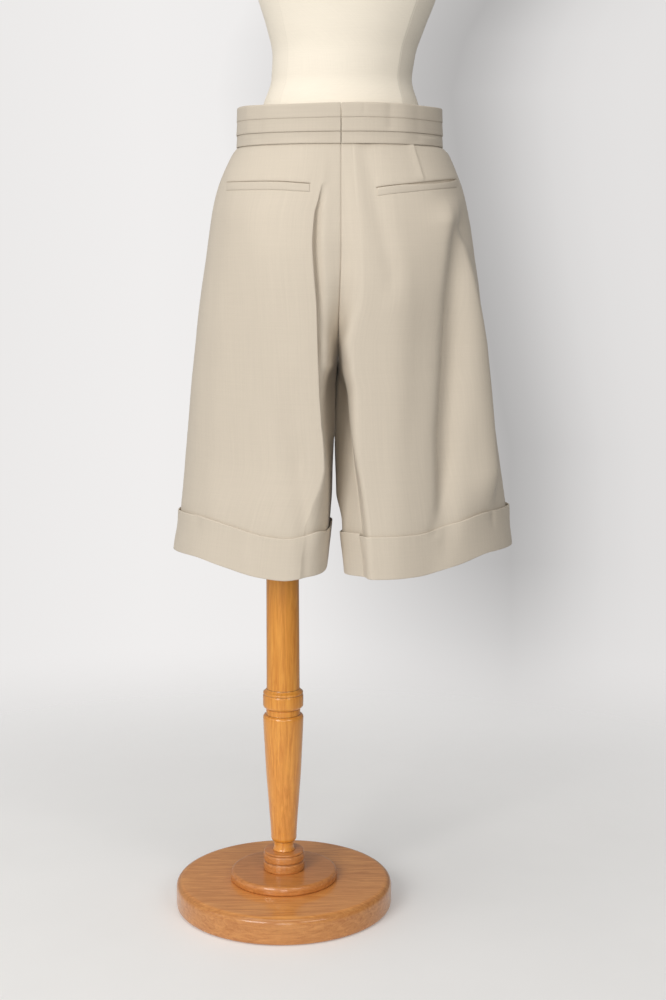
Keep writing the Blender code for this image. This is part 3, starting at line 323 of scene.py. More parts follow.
class Surface:
    """The table of sections of one panel, with its marks' places on each level."""

    def __init__(self, side, face, marks):
        self.side, self.face = side, face
        self.sign = SIGN[side]
        self.turn = self.sign if face == "back" else -self.sign
        lines = [row_line(side, face, z, PLACES) for z in LEVELS]
        self.x = np.array([p[0] for p in lines])
        self.y = np.array([p[1] for p in lines])
        step = np.hypot(np.diff(self.x, axis=1), np.diff(self.y, axis=1))
        self.run = np.concatenate(
            [np.zeros((len(LEVELS), 1)), np.cumsum(step, axis=1)], axis=1)
        self.marks = [self.mark_run(m) for m in marks]

    def at_height(self, z):
        """Run, half-widths and y at one height."""
        k = (LEVELS[0] - z) / LEVEL_STEP
        i = int(min(max(k, 0), len(LEVELS) - 2))
        t = min(max(k - i, 0.0), 1.0)
        return [(1 - t) * v[i] + t * v[i + 1] for v in (self.run, self.x, self.y)]

    def mark_run(self, mark):
        """Where a mark lies along each level: a place, or a line of half-widths."""
        if isinstance(mark, (int, float)):
            return np.array([np.interp(mark, PLACES, r) for r in self.run])
        first = PLACES <= 1
        return np.array([np.interp(-mark(z), -x[first], r[first])
                         for z, x, r in zip(LEVELS, self.x, self.run)])

    def columns(self, plan):
        """Places, half-widths, y and run of columns planned between the marks."""
        out = [[], [], [], []]
        for i in range(len(LEVELS)):
            spots = []
            for k, (lead, middle, tail) in enumerate(plan):
                a, b = self.marks[k][i], self.marks[k + 1][i]
                room = max(b - a, 1e-4)
                scale = min(1.0, 0.45 * room / max(lead[-1] + tail[-1], 1e-6))
                low, high = a + lead[-1] * scale, b - tail[-1] * scale
                spots += [a + d * scale for d in lead[:-1]]
                spots += list(np.linspace(low, high, middle))
                spots += [b - d * scale for d in reversed(tail[1:-1])]
            spots.append(self.marks[-1][i])
            r = np.array(spots)
            out[0].append(np.interp(r, self.run[i], PLACES))
            out[1].append(np.interp(r, self.run[i], self.x[i]))
            out[2].append(np.interp(r, self.run[i], self.y[i]))
            out[3].append(r)
        return [np.array(o) for o in out]


def at_heights(tables, z):
    """Tables (levels by columns) read at the heights z (rows by columns)."""
    k = np.clip((LEVELS[0] - z) / LEVEL_STEP, 0, len(LEVELS) - 1.001)
    i = k.astype(int)
    t = k - i
    j = np.arange(z.shape[1])[None, :]
    return [(1 - t) * table[i, j] + t * table[i + 1, j] for table in tables]


def fold_relief(side, face, x, z):
    """The largest folds, as the solids have them."""
    out = np.zeros_like(x)
    for s, f, z1, x1, z2, x2, high, wide, fade in FOLD_ROWS:
        if s != side or f != face:
            continue
        centre = x1 + (x2 - x1) * np.clip((z1 - z) / (z1 - z2), 0.0, 1.0)
        grow = ramp(z1 + fade, z1 - fade * 0.3, z)
        if z2 > 0.7:
            grow = grow * ramp(z2 - fade, z2, z)
        out += high * grow * bell(x - centre, wide)
    return out


def crease_relief(side, face, x, z, place):
    """Soft creases and ridges at listed lines, fading into the fork."""
    out = np.zeros_like(x)
    for s, f, line, high, inner, outer, above, below in CREASE_ROWS:
        if s != side or f != face:
            continue
        zs = np.array([p[0] for p in line])[::-1]
        xs = np.array([p[1] for p in line])[::-1]
        far = x - np.interp(z, zs, xs)
        wide = np.where(far < 0, inner, outer)
        grow = ramp(zs[-1] + above, zs[-1], z) * ramp(zs[0] - below, zs[0], z)
        out += high * grow * bell(far, wide)
    return out * (1 - ramp(1.02, 1.2, place))


def folds(side, face, x, z, place, run):
    """All folds of a panel, flat at its side seam."""
    out = fold_relief(side, face, x, z) + crease_relief(side, face, x, z, place)
    return out * (1 - bell(run, SEAM_FLAT))


def pleat_line(k):
    x_top, x_low, _, _, z_gone = PLEAT_ROWS[k]
    return lambda z: x_top + (x_low - x_top) * float(ramp(BAND_BOTTOM, z_gone, z))


def pleat_relief(far, z, k):
    """The pressed step and the flat of one knife pleat; far runs towards the centre."""
    _, _, high, z_full, z_gone = PLEAT_ROWS[k]
    open_share = ramp(z_gone, z_full, z)
    rise = (PLEAT_TOP + (high - PLEAT_TOP) * ramp(BAND_BOTTOM, z_full, z)) * open_share
    step = PLEAT_STEP + 0.010 * (1 - open_share)
    before = ramp(0, 1, (far + step) / step)
    after = 1 - ramp(0.0, PLEAT_RAMP, far)
    return rise * np.where(far < 0, before, after)


def uneven(x, z, seed):
    """Slow unevenness of hanging cloth, from a few fixed waves."""
    rng = np.random.RandomState(seed)
    out = np.zeros_like(x)
    for _ in range(7):
        across = rng.uniform(20, 75) * rng.choice((-1, 1))
        down = rng.uniform(3, 16)
        out += rng.uniform(0.4, 1.0) * np.sin(across * x + down * z + rng.uniform(0, 6.28))
    return out / 7


def seam_roll(d, deep=0.0009):
    """The cloth turning in at a seam, d metres away, with the soft dip beside it."""
    return -deep * bell(d, 0.0011) - 0.00025 * bell(d, 0.0045)


def grid_normals(p, turn):
    du = np.gradient(p, axis=1)
    dv = np.gradient(p, axis=0)
    n = np.cross(du, dv) * turn
    return n / np.maximum(np.linalg.norm(n, axis=2, keepdims=True), 1e-12)


# ---- mesh building
def new_object(name, verts, faces, material, uvs=None, angle=38, clean=False, marks=None):
    """A smooth object; clean turns its faces outwards, marks are its values of painted
    groove shade.
    """
    mesh = bpy.data.meshes.new(name)
    verts = np.asarray(verts, float)
    mesh.from_pydata(verts.tolist(), [], faces)
    if uvs is None:
        uvs = np.zeros((len(verts), 2))
    layer = mesh.uv_layers.new(name="cloth")
    index = np.zeros(len(mesh.loops), np.int32)
    mesh.loops.foreach_get("vertex_index", index)
    layer.data.foreach_set("uv", np.asarray(uvs, np.float32)[index].ravel())
    mesh.shade_smooth()
    mesh.set_sharp_from_angle(angle=math.radians(angle))
    mesh.validate()
    obj = bpy.data.objects.new(name, mesh)
    bpy.context.scene.collection.objects.link(obj)
    mesh.materials.append(material)
    if clean:
        work = bmesh.new()
        work.from_mesh(mesh)
        if clean == "join":
            bmesh.ops.remove_doubles(work, verts=work.verts, dist=1e-6)
        bmesh.ops.recalc_face_normals(work, faces=work.faces)
        work.to_mesh(mesh)
        work.free()
    if marks is not None:
        values = mesh.attributes.new("seam", "FLOAT", "POINT")
        values.data.foreach_set("value", np.asarray(marks, np.float32).ravel())
    return obj


def ring_faces(rows, around, start=0):
    """Quads between closed rings of points that follow each other."""
    return [[start + k * around + a, start + k * around + (a + 1) % around,
             start + (k + 1) * around + (a + 1) % around, start + (k + 1) * around + a]
            for k in range(rows - 1) for a in range(around)]


def shell_object(name, outer, inner, material, uv):
    """A closed thin wall between two grids of points (rows by columns)."""
    rows, cols = outer.shape[:2]
    top = rows * cols
    i, j = np.meshgrid(np.arange(rows - 1), np.arange(cols - 1), indexing="ij")
    a = (i * cols + j).ravel()
    mid = (rows // 2, cols // 2)
    e1 = outer[mid[0], mid[1] + 1] - outer[mid]
    e2 = outer[mid[0] + 1, mid[1]] - outer[mid]
    out = float(np.dot(np.cross(e1, e2), outer[mid] - inner[mid])) > 0
    corners = [a, a + 1, a + 1 + cols, a + cols]
    quad = np.stack(corners if out else corners[::-1], axis=1)
    faces = quad.tolist() + (quad[:, ::-1] + top).tolist()
    edge = [(0, k) for k in range(cols)] + [(k, cols - 1) for k in range(1, rows)]
    edge += [(rows - 1, k) for k in range(cols - 2, -1, -1)]
    edge += [(k, 0) for k in range(rows - 2, 0, -1)]
    for (r, s), (r2, s2) in zip(edge, edge[1:] + edge[:1]):
        p, q = r * cols + s, r2 * cols + s2
        faces.append([q, p, p + top, q + top] if out else [p, q, q + top, p + top])
    verts = np.concatenate([outer.reshape(-1, 3), inner.reshape(-1, 3)])
    return new_object(name, verts, faces, material, np.concatenate([uv.reshape(-1, 2)] * 2))


def tube_object(name, loops, material, uv, ring=False, angle=40, marks=None):
    """A solid swept through closed cross-sections (stations by points)."""
    count, size = loops.shape[:2]
    faces = ring_faces(count + ring, size)
    if ring:
        faces = [[v % (count * size) for v in f] for f in faces]
    else:
        faces.append(list(range(size - 1, -1, -1)))
        faces.append(list(range((count - 1) * size, count * size)))
    return new_object(name, loops.reshape(-1, 3), faces, material,
                      np.reshape(uv, (-1, 2)), angle, True, marks)


# ---- materials
class Nodes:
    """Short calls for making the nodes and links of a material or of the world."""

    def __init__(self, owner):
        self.owner = owner
        owner.use_nodes = True
        self.tree = owner.node_tree
        self.main = self.tree.nodes.get("Principled BSDF")

    def add(self, kind, ins=(), **settings):
        node = self.tree.nodes.new("ShaderNode" + kind)
        for key, value in settings.items():
            setattr(node, key, value)
        for key, value in dict(ins).items():
            self.put(node, key, value)
        return node

    def put(self, node, key, value):
        socket = node.inputs[key]
        if isinstance(value, bpy.types.NodeSocket):
            self.tree.links.new(value, socket)
        elif isinstance(value, bpy.types.Node):
            self.tree.links.new(value.outputs[0], socket)
        else:
            socket.default_value = value

    def stretch(self, vector, scale):
        return self.add("Mapping", {"Vector": vector, "Scale": scale})

    def noise(self, vector, scale, detail=2.0, rough=0.5, warp=0.0):
        return self.add("TexNoise", {"Vector": vector, "Scale": scale, "Detail": detail,
                                     "Roughness": rough, "Distortion": warp})

    def yarns(self, across, down, detail=3.0, rough=0.6):
        """Noise drawn out along the cloth's own directions."""
        return self.noise(self.stretch(self.cloth(), (across, down, 1)), 1.0, detail, rough)

    def range(self, value, low, high, to_low=0.0, to_high=1.0):
        return self.add("MapRange", {"Value": value, "From Min": low, "From Max": high,
                                     "To Min": to_low, "To Max": to_high})

    def swing(self, value, size):
        """A noise's usual range turned into plus and minus a small size."""
        return self.range(value, 0.3, 0.7, -size, size)

    def math(self, operation, a, b=0.0):
        return self.add("Math", {0: a, 1: b}, operation=operation)

    def plus(self, first, *others):
        for other in others:
            first = self.math("ADD", first, other)
        return first

    def times(self, a, b):
        return self.math("MULTIPLY", a, b)

    def grey(self, tone):
        return self.add("CombineXYZ", {"X": tone, "Y": tone, "Z": tone})

    def mix(self, factor, a, b, blend="MIX"):
        return self.add("Mix", {0: factor, 6: a, 7: b}, data_type="RGBA",
                        blend_type=blend).outputs[2]

    def tint(self, colour, tone):
        return self.mix(1.0, colour, self.grey(tone), "MULTIPLY")

    def bump(self, height, strength, distance, **more):
        return self.add("Bump", {"Height": height, "Strength": strength,
                                 "Distance": distance, **more})

    def seam(self):
        return self.add("Attribute", attribute_name="seam").outputs["Fac"]

    def cloth(self):
        return self.add("UVMap", uv_map="cloth")

    def place(self):
        return self.add("TexCoord").outputs["Object"]

    def finish(self, base, bump, rough, **more):
        values = {"Base Color": base, "Normal": bump, "Roughness": rough}
        for key, value in {**values, **more}.items():
            self.put(self.main, key.replace("_", " "), value)
        return self.owner


def new_material(name):
    return Nodes(bpy.data.materials.new(name))


def rgb(r, g, b):
    return (r, g, b, 1.0)


def cloth_material(name, colour):
    """Fine twill: diagonal ribs, uneven yarns along warp and weft, a dull sheen."""
    m = new_material(name)
    rib = m.add("TexWave", {"Vector": m.stretch(m.cloth(), (1, 1, 1)), "Scale": 560.0,
                            "Distortion": 1.2, "Detail": 1.0, "Detail Scale": 3.0},
                wave_type="BANDS", bands_direction="DIAGONAL")
    warp, weft = m.yarns(430, 9), m.yarns(11, 520)
    broad, yarn = m.yarns(9, 4, 2.0, 0.5), m.yarns(2100, 1500, 1.0, 0.5)
    tone = m.plus(m.swing(warp, 0.022), m.swing(weft, 0.015), m.swing(broad, 0.018),
                  m.range(rib, 0.0, 1.0, -0.020, 0.020), 1.0)
    fine = m.bump(m.plus(m.times(rib, 0.5), m.times(yarn, 0.5)), 0.25, 0.0002)
    bump = m.bump(m.plus(warp, weft), 0.20, 0.0004, Normal=fine)
    return m.finish(m.tint(rgb(*colour), tone), bump,
                    m.range(yarn, 0.2, 0.8, 0.72, 0.84), Sheen_Weight=0.12,
                    Sheen_Roughness=0.45, Specular_IOR_Level=0.28)


def linen_material():
    m = new_material("form_linen")
    warp, weft = m.yarns(700, 30), m.yarns(30, 760)
    tone = m.plus(m.swing(warp, 0.014), m.swing(weft, 0.014),
                  m.range(m.yarns(5, 3, 3.0, 0.5), 0.3, 0.7, 0.985, 1.010))
    # painted shade darkens the form's seams along their grooves
    tone = m.math("SUBTRACT", tone, m.times(m.seam(), 0.16))
    return m.finish(m.tint(rgb(0.83, 0.765, 0.655), tone),
                    m.bump(m.plus(warp, weft), 0.22, 0.0004), 0.78,
                    Sheen_Weight=0.10, Specular_IOR_Level=0.28)


def wood_material(name, grain, light, dark, seed, top=None):
    """Varnished turned wood; grain is the stretch of the rings along an axis."""
    m = new_material(name)
    place = m.place()
    moved = m.add("VectorMath", {0: place, 1: (seed, seed * 0.7, seed * 1.3)},
                  operation="ADD")
    long = m.stretch(moved, grain)
    warp = m.noise(long, 2.2)
    bent = m.add("VectorMath", {0: long, 1: m.stretch(warp, (0.5, 0.5, 0.5))},
                 operation="ADD")
    rings = m.noise(bent, 7.0, 4.0, 0.62, 0.6)
    fibres = m.noise(m.stretch(long, (9, 9, 2.0)), 9.0, 3.0, 0.6)
    tone = m.add("ValToRGB", {"Fac": rings})
    for end, at, colour in zip(tone.color_ramp.elements, (0.32, 0.68), (dark, light)):
        end.position, end.color = at, rgb(*colour)
    # painted shade darkens the turned grooves; the fibres give the grain's own tone
    shade = m.times(m.range(fibres, 0.35, 0.7, 0.93, 1.05),
                    m.range(m.seam(), 0.0, 1.0, 1.0, 0.42))
    if top:
        # painted light and shade: the flat top is paler and the edge below it darker, as
        # lit from above
        high = m.add("SeparateXYZ", {0: place}).outputs["Z"]
        shade = m.times(shade, m.range(high, top - 0.0015, top, 0.86, 1.16))
    return m.finish(m.tint(tone.outputs[0], shade), m.bump(fibres, 0.06, 0.0004), 0.42,
                    Coat_Weight=0.75, Coat_Roughness=0.13, Coat_IOR=1.5,
                    Specular_IOR_Level=0.4)


def two_tone(name, scale, dark, light, low, high, bump, rough, stretch=None, noise=(2.0,),
             **more):
    """A plain clouded surface between two colours."""
    m = new_material(name)
    place = m.stretch(m.place(), stretch) if stretch else m.place()
    cloud = m.noise(place, scale, *noise)
    base = m.mix(m.range(cloud, low, high), rgb(*dark), rgb(*light))
    return m.finish(base, m.bump(cloud, *bump), rough, **more)


# ---- the legs
SEAM_LEAD = (0.0, 0.0005, 0.0010, 0.0016, 0.0025, 0.0038, 0.0058)
EDGE_LEAD = (0.0, 0.0006, 0.0014, 0.0026, 0.0046)
STEP_TAIL = (0.0, 0.0003, 0.0008, 0.0016, 0.0026, 0.0048)
FINE = (0.0, 0.0003, 0.0006, 0.0010, 0.0018, 0.0030)
PLANS = {
    ("left", "back"): ((0, 1, 2), ((SEAM_LEAD, 78, EDGE_LEAD), (EDGE_LEAD, 40, SEAM_LEAD))),
    ("right", "back"): (
        (0, lambda z: float(np.interp(z, *zip(*DART))), 1, 2),
        ((SEAM_LEAD, 42, EDGE_LEAD), (EDGE_LEAD, 34, (0.0,)), ((0.0,), 44, SEAM_LEAD))),
    ("left", "front"): (
        (0, pleat_line(1), pleat_line(0), 1, 2),
        ((SEAM_LEAD, 44, STEP_TAIL), (EDGE_LEAD, 12, STEP_TAIL),
         (EDGE_LEAD, 14, (0.0,)), ((0.0,), 40, SEAM_LEAD))),
}
PLANS[("right", "front")] = PLANS[("left", "front")]
DROP_ROWS = ((0.740, 0.770, 0.800, 0.850, 0.900, 0.950, 1.000, 1.030, 1.060, 1.085),
             (0.0000, 0.0030, 0.0085, 0.0125, 0.0130, 0.0125, 0.0120, 0.0100, 0.0050,
              0.0000),
             (0.0060, 0.0090, 0.0120, 0.0130, 0.0120, 0.0100, 0.0085, 0.0075, 0.0060,
              0.0050))
WELT_AT = {side: curve(rows) for side, rows in WELTS.items()}
DRIFT, DRIFT_WIDE = 0.0037, 0.022        # of the centre seam, and how far round it
GAPE = 0.0034            # how far the right pocket's mouth hangs open
SLIT_DEEP = 0.0030       # how far the cloth goes in under a welt
DART_RISE = 0.0017       # the step of the dart, on the side of the centre
UNEVEN = 0.0009          # height of the cloth's slow unevenness
WELT_ROW = 1.080         # the welt's centre in the unshifted rows
SLIT_ROW, WELT_FOOT = WELT_ROW + WELT_HIGH / 2, WELT_ROW - WELT_HIGH / 2


def row_heights(face):
    zs = list(np.arange(BAND_BOTTOM - 0.0045, HEM + 0.0023, -0.0034)) + [HEM + 0.0023]
    zs += [BAND_BOTTOM - d for d in (0.0001, 0.0005, 0.0010, 0.0017, 0.0028)]
    if face == "back":
        for centre in (SLIT_ROW, WELT_FOOT):
            zs = [z for z in zs if abs(z - centre) > 0.0040]
            zs += [centre + d for d in FINE] + [centre - d for d in FINE[1:]]
    return np.array(sorted(set(round(z, 6) for z in zs), reverse=True))


def centre_drift(z):
    """How far the centre seam and the crotch hang to the wearer's left."""
    return -DRIFT * ramp(1.000, 0.870, z)


def drifted(points):
    out = points.copy()
    far = points[..., 0] - CENTRE_X
    out[..., 0] += centre_drift(points[..., 2]) * bell(far, DRIFT_WIDE)
    return out


def welt_gape(side, half):
    """How far the right pocket's mouth hangs open below its upper edge."""
    share = np.clip((np.asarray(half, float) - 0.088) / 0.074, 0, 1)
    return (GAPE if side == "right" else 0.0) * np.sin(math.pi * share ** 1.3) ** 0.8


def leg_relief(surface, x, z, place, run, marks, level, slit=True):
    """Everything that stands out of or into a panel's plain surface."""
    side, face = surface.side, surface.face
    seed = 3 + 2 * (side == "left") + 5 * (face == "back")
    out = folds(side, face, x, z, place, run)
    inside = 1 - bell(run, 0.030) - bell(marks[-1] - run, 0.015)
    out += UNEVEN * uneven(x, z, seed) * ramp(1.135, 1.06, z) * inside
    if (side, face) == ("left", "back"):
        # the cloth beside the ridge drops steeply, then comes back up to the seam
        far = run - marks[1] + 0.0010
        drop = np.interp(z, DROP_ROWS[0], DROP_ROWS[1])
        back = np.interp(z, DROP_ROWS[0], DROP_ROWS[2])
        out -= drop * ramp(0.0, 0.0030, far) * bell(np.maximum(far - 0.0030, 0), back)
    if face == "front":
        for k, mark in ((1, marks[1]), (0, marks[2])):
            out += pleat_relief(run - mark, z, k) * (place <= 1)
    pucker = np.sin(z * 330 + 5 * np.sin(z * 41)) * 0.00010
    for gap in (run, marks[-1] - run):
        out += seam_roll(gap) + pucker * bell(gap - 0.004, 0.004)
    out -= 0.0006 * bell(BAND_BOTTOM - z, 0.0012)
    if (side, face) == ("right", "back"):
        held = ramp(DART[0][0] - 0.001, DART[0][0] + 0.006, z)
        gap = run - marks[1]
        out += DART_RISE * held * ramp(-0.0005, 0.0, gap) * bell(np.maximum(gap, 0), 0.008)
    if face == "back":
        x0, x1 = WELTS[side][0][0], WELTS[side][-1][0]
        inside = ramp(x0 - 0.001, x0 + 0.001, x) * ramp(x1 + 0.001, x1 - 0.001, x)
        far = level - SLIT_ROW
        out += 0.0007 * inside * bell(far - 0.006, 0.006)
        if slit:
            gape = welt_gape(side, x)
            out_of_slit = np.maximum(far - 0.0003, 0.0003 - far - gape)
            out -= SLIT_DEEP * inside * (1 - ramp(0.0004, 0.0008, out_of_slit))
            out -= 0.0005 * inside * bell(level - WELT_FOOT, 0.0008)
    return out


def leg_panel(surface, plan):
    side, face = surface.side, surface.face
    tables = surface.columns(plan)
    level = np.repeat(row_heights(face)[:, None], tables[0].shape[1], axis=1)
    place, x = at_heights(tables[:2], level)
    share = np.interp(level, (0.600, 0.650, 0.705), (1.0, 0.55, 0.0))
    z = level + share * (HEM_AT[(side, face)](1, place) - HEM)
    if face == "back":
        middle = at_heights([tables[1]], np.full_like(level, WELT_ROW))[0]
        shift = WELT_AT[side](1, middle) - WELT_ROW
        z = z + shift * (1 - ramp(0.007, 0.032, np.abs(level - WELT_ROW)))
    place, x, y, run = at_heights(tables, z)
    mark_tables = [np.repeat(m[:, None], z.shape[1], axis=1) for m in surface.marks]
    marks = at_heights(mark_tables, z)
    points = drifted(np.stack([surface.sign * x + CENTRE_X, y, z], axis=2))
    n = grid_normals(points, surface.turn)
    relief = leg_relief(surface, x, z, place, run, marks, level)
    outer, inner = (points + n * (out + relief)[..., None] for out in (HALF, HALF - CLOTH))
    above = (z > CROTCH_Z) & (place > 1.5)
    middle = CENTRE_X + centre_drift(z)
    for grid in (outer, inner):
        off = (grid[..., 0] - middle) * surface.sign
        grid[..., 0] = np.where(above, middle + surface.sign * np.maximum(off, SEAM),
                                grid[..., 0])
    uv = np.stack([run - marks[-2], z], axis=2)
    return shell_object(face + "_leg_" + side, outer, inner, TWILL, uv)


CLOTH_COLOUR = (0.600, 0.532, 0.440)
TWILL = cloth_material("twill", CLOTH_COLOUR)
TWILL_CROSS = cloth_material("twill_cross", tuple(c * 0.96 for c in CLOTH_COLOUR))
SURFACES = {key: Surface(*key, marks) for key, (marks, _) in PLANS.items()}
PANELS = {key: leg_panel(SURFACES[key], plan) for key, (_, plan) in PLANS.items()}


# ---- turn-ups
CUFF_DENTS = {  # side, face: place, width in places, depth, how far down it reaches
    ("left", "back"): ((0.30, 0.035, 0.0010, 0.030), (0.72, 0.030, 0.0012, 0.060)),
    ("right", "back"): ((0.265, 0.022, 0.0022, 0.035), (0.60, 0.060, 0.0008, 0.060)),
    ("left", "front"): ((0.45, 0.040, 0.0012, 0.050),),
    ("right", "front"): ((0.55, 0.040, 0.0012, 0.050),),
}
CUFF_GAPS = {  # how far the rim stands away from the leg: place, width, metres
    ("left", "back"): ((1.20, 0.20, 0.0042), (0.10, 0.12, 0.0008)),
    ("right", "back"): ((1.75, 0.35, 0.0030), (0.02, 0.05, 0.0020), (0.45, 0.15, 0.0008)),
    ("left", "front"): ((1.90, 0.25, 0.0002),),
    ("right", "front"): ((1.97, 0.10, 0.0020), (0.05, 0.05, 0.0015)),
}
CUFF_LIFTS = {  # where the rim hangs higher: panel, place, width, metres
    "left": (("back", 1.20, 0.16, 0.0042),),
    "right": (("front", 1.97, 0.10, 0.0020),),
}
CUFF_MARKS, CUFF_PLAN = (0, 1, 2), ((SEAM_LEAD, 78, (0.0,)), ((0.0,), 44, SEAM_LEAD))
CUFF_THICK = 0.0017      # the folded cloth of a turn-up
INNER_OUT = 0.0014       # its inner face, from the leg's middle surface


def cuff_rows():
    """The turn-up's cross-section: (kind, height, offset), outer face first."""
    face = [("out", h, 0.0) for h in np.concatenate([
        [0.0590, 0.0578, 0.0560], np.linspace(0.0535, 0.0045, 17), [0.0025, 0.0012]])]
    under = [("low", 0.0004, 0.0030), ("low", 0.0, 0.0024), ("low", 0.0, 0.0004),
             ("low", 0.0004, -0.0001), ("low", 0.0012, -0.0004), ("low", 0.0021, -0.0003),
             ("low", 0.0022, 0.0003), ("low", 0.0022, 0.0014)]
    back = [("in", h, 0.0) for h in (0.0060, 0.0200, 0.0350, 0.0450, 0.0520, 0.0560,
                                     0.0590)]
    rim = [("rim", 0.0597, 0.25), ("rim", 0.0600, 0.5), ("rim", 0.0597, 0.75)]
    return face + under + back + rim


def cuff_half(side, face, level):
    """Points of one panel's half of a turn-up, and how far its faces stand out there."""
    surface = Surface(side, face, CUFF_MARKS)
    tables = surface.columns(CUFF_PLAN)
    level = np.repeat(level[:, None] + HEM, tables[0].shape[1], axis=1)
    place = at_heights(tables[:1], level)[0]
    z = level + HEM_AT[(side, face)](1, place) - HEM
    place, x, y, run = at_heights(tables, z)
    relief = folds(side, face, x, z, place, run)
    high = level - HEM
    for at, wide, deep, reach in CUFF_DENTS[(side, face)]:
        relief -= deep * bell(place - at, wide) * ramp(CUFF_HIGH - reach, CUFF_HIGH, high)
    stand = np.zeros_like(x)
    for at, wide, far in CUFF_GAPS[(side, face)]:
        stand += far * bell(place - at, wide)
    stand *= ramp(0.020, CUFF_HIGH, high)
    roll = seam_roll(run, 0.0006) + seam_roll(run[:, -1:] - run, 0.0006)
    points = drifted(np.stack([surface.sign * x + CENTRE_X, y, z], axis=2))
    return points, relief, stand, roll, run, place


def ring_normals(points):
    """Level directions out of a closed ring, smoothed so that it keeps clear of itself."""
    wrapped = np.concatenate([points[:, -1:], points, points[:, :1]], axis=1)
    du = (wrapped[:, 2:] - wrapped[:, :-2])[..., :2]
    n = np.stack([du[..., 1], -du[..., 0]], axis=2)
    n /= np.maximum(np.linalg.norm(n, axis=2, keepdims=True), 1e-12)
    centre = points[..., :2].mean(axis=1, keepdims=True)
    if float((n * (points[..., :2] - centre)).sum()) < 0:
        n = -n
    for _ in range(2):
        n = (np.roll(n, 1, axis=1) + 2 * n + np.roll(n, -1, axis=1)) / 4
        n /= np.linalg.norm(n, axis=2, keepdims=True)
    return n


def cuff_object(side):
    profile = cuff_rows()
    height = np.array([h for _, h, _ in profile])
    back, front = (cuff_half(side, face, height) for face in FACES)
    points, relief, stand, roll, run, place = (
        np.concatenate([b, f[:, -2:0:-1]], axis=1) for b, f in zip(back, front))
    face_out = 0.0032 + 0.0013 * (height / CUFF_HIGH) ** 1.5
    offset = np.zeros(points.shape[:2])
    for i, (kind, h, value) in enumerate(profile):
        stands = face_out[i] + stand[i] + roll[i]
        if kind == "out":
            offset[i] = stands
        elif kind == "in":
            share = float(ramp(0.012, 0.055, h))
            offset[i] = INNER_OUT + (stands - CUFF_THICK - INNER_OUT) * share
        elif kind == "rim":
            offset[i] = stands - CUFF_THICK * (1 - value)
        else:
            offset[i] = value
    # the rim's slow wave, and the places where it hangs higher
    wave = 0.0005 * np.sin(run[0] * 46 + (1.1 if side == "left" else 2.3))
    lift = ramp(0.03, CUFF_HIGH, height)[:, None] * wave
    on_back = np.arange(place.shape[1]) < back[-1].shape[1]
    for face, at, wide, far in CUFF_LIFTS[side]:
        where = np.where(on_back == (face == "back"), place[0], 9.0)
        lift += far * ramp(0.025, CUFF_HIGH, height)[:, None] * bell(where - at, wide)
    ring = points.copy()
    ring[..., :2] += ring_normals(points) * (offset + relief)[..., None]
    ring[..., 2] += lift
    arc = run_along(points[0, :, 0], points[0, :, 1])
    uv = np.stack([np.repeat(arc[None], len(profile), 0), points[..., 2]], axis=2)
    return tube_object("turn_up_" + side, ring.transpose(1, 0, 2), TWILL,
                       uv.transpose(1, 0, 2), True, 45)


CUFFS = {side: cuff_object(side) for side in SIDES}


# ---- waistband
BAND_DENTS = (  # side, half-width, width, depth, lowest height that it reaches
    ("right", 0.0313, 0.0016, 0.0006, 1.1745),
    ("right", 0.0670, 0.0060, 0.0011, 1.1560),
    ("right", 0.0860, 0.0080, -0.0006, 1.1400),
    ("right", 0.1060, 0.0070, 0.0008, 1.1400),
    ("right", 0.1230, 0.0170, 0.0019, 1.1480),
    ("left", 0.1290, 0.0040, -0.0008, 1.1560),
    ("left", 0.1130, 0.0070, 0.0009, 1.1400),
    ("left", 0.0500, 0.0200, 0.0005, 1.1400),
)
TUCKS = (  # top and bottom of each tuck, undercut depth and the gap below it
    (BAND_TOP, TUCK_LINES[0], 0.0002, 0.0002),
    (TUCK_LINES[0], TUCK_LINES[1], 0.0010, 0.0005),
    (TUCK_LINES[1], BAND_BOTTOM, 0.0, 0.0),
)


def band_profile():
    """(height, offset, lowest part of its tuck) down the outside, then back up."""
    rows = [(BAND_TOP - 0.0003, -0.0004), (BAND_TOP, 0.0004), (BAND_TOP, 0.0014),
            (BAND_TOP - 0.0004, 0.0020)]
    gap = 0.0010             # where the first tuck's face starts below the band's edge
    for top, low, deep, slot in TUCKS:
        stand = TUCK * (0.5 if top == BAND_TOP else 1.0)
        for s in np.linspace(0, 1, 8):
            rows.append((top - gap + (low + 0.0008 - top + gap) * s,
                         BAND_OUT + stand * s ** 1.3))
        rows.append((low + 0.0003, BAND_OUT + stand - 0.0001))
        rows.append((low, BAND_OUT + stand - 0.0004))
        if deep:
            rows.append((low + 0.0001, BAND_OUT - deep))
            rows.append((low - slot, BAND_OUT - deep))
            rows.append((low - slot - 0.0001, BAND_OUT - 0.0004))
            gap = slot + 0.0004
    rows += [(BAND_BOTTOM, 0.0), (BAND_BOTTOM, -HALF + 0.0002),
             (BAND_BOTTOM + 0.0003, -HALF), ((BAND_TOP + BAND_BOTTOM) / 2, -HALF),
             (BAND_TOP - 0.0010, -HALF)]
    return rows


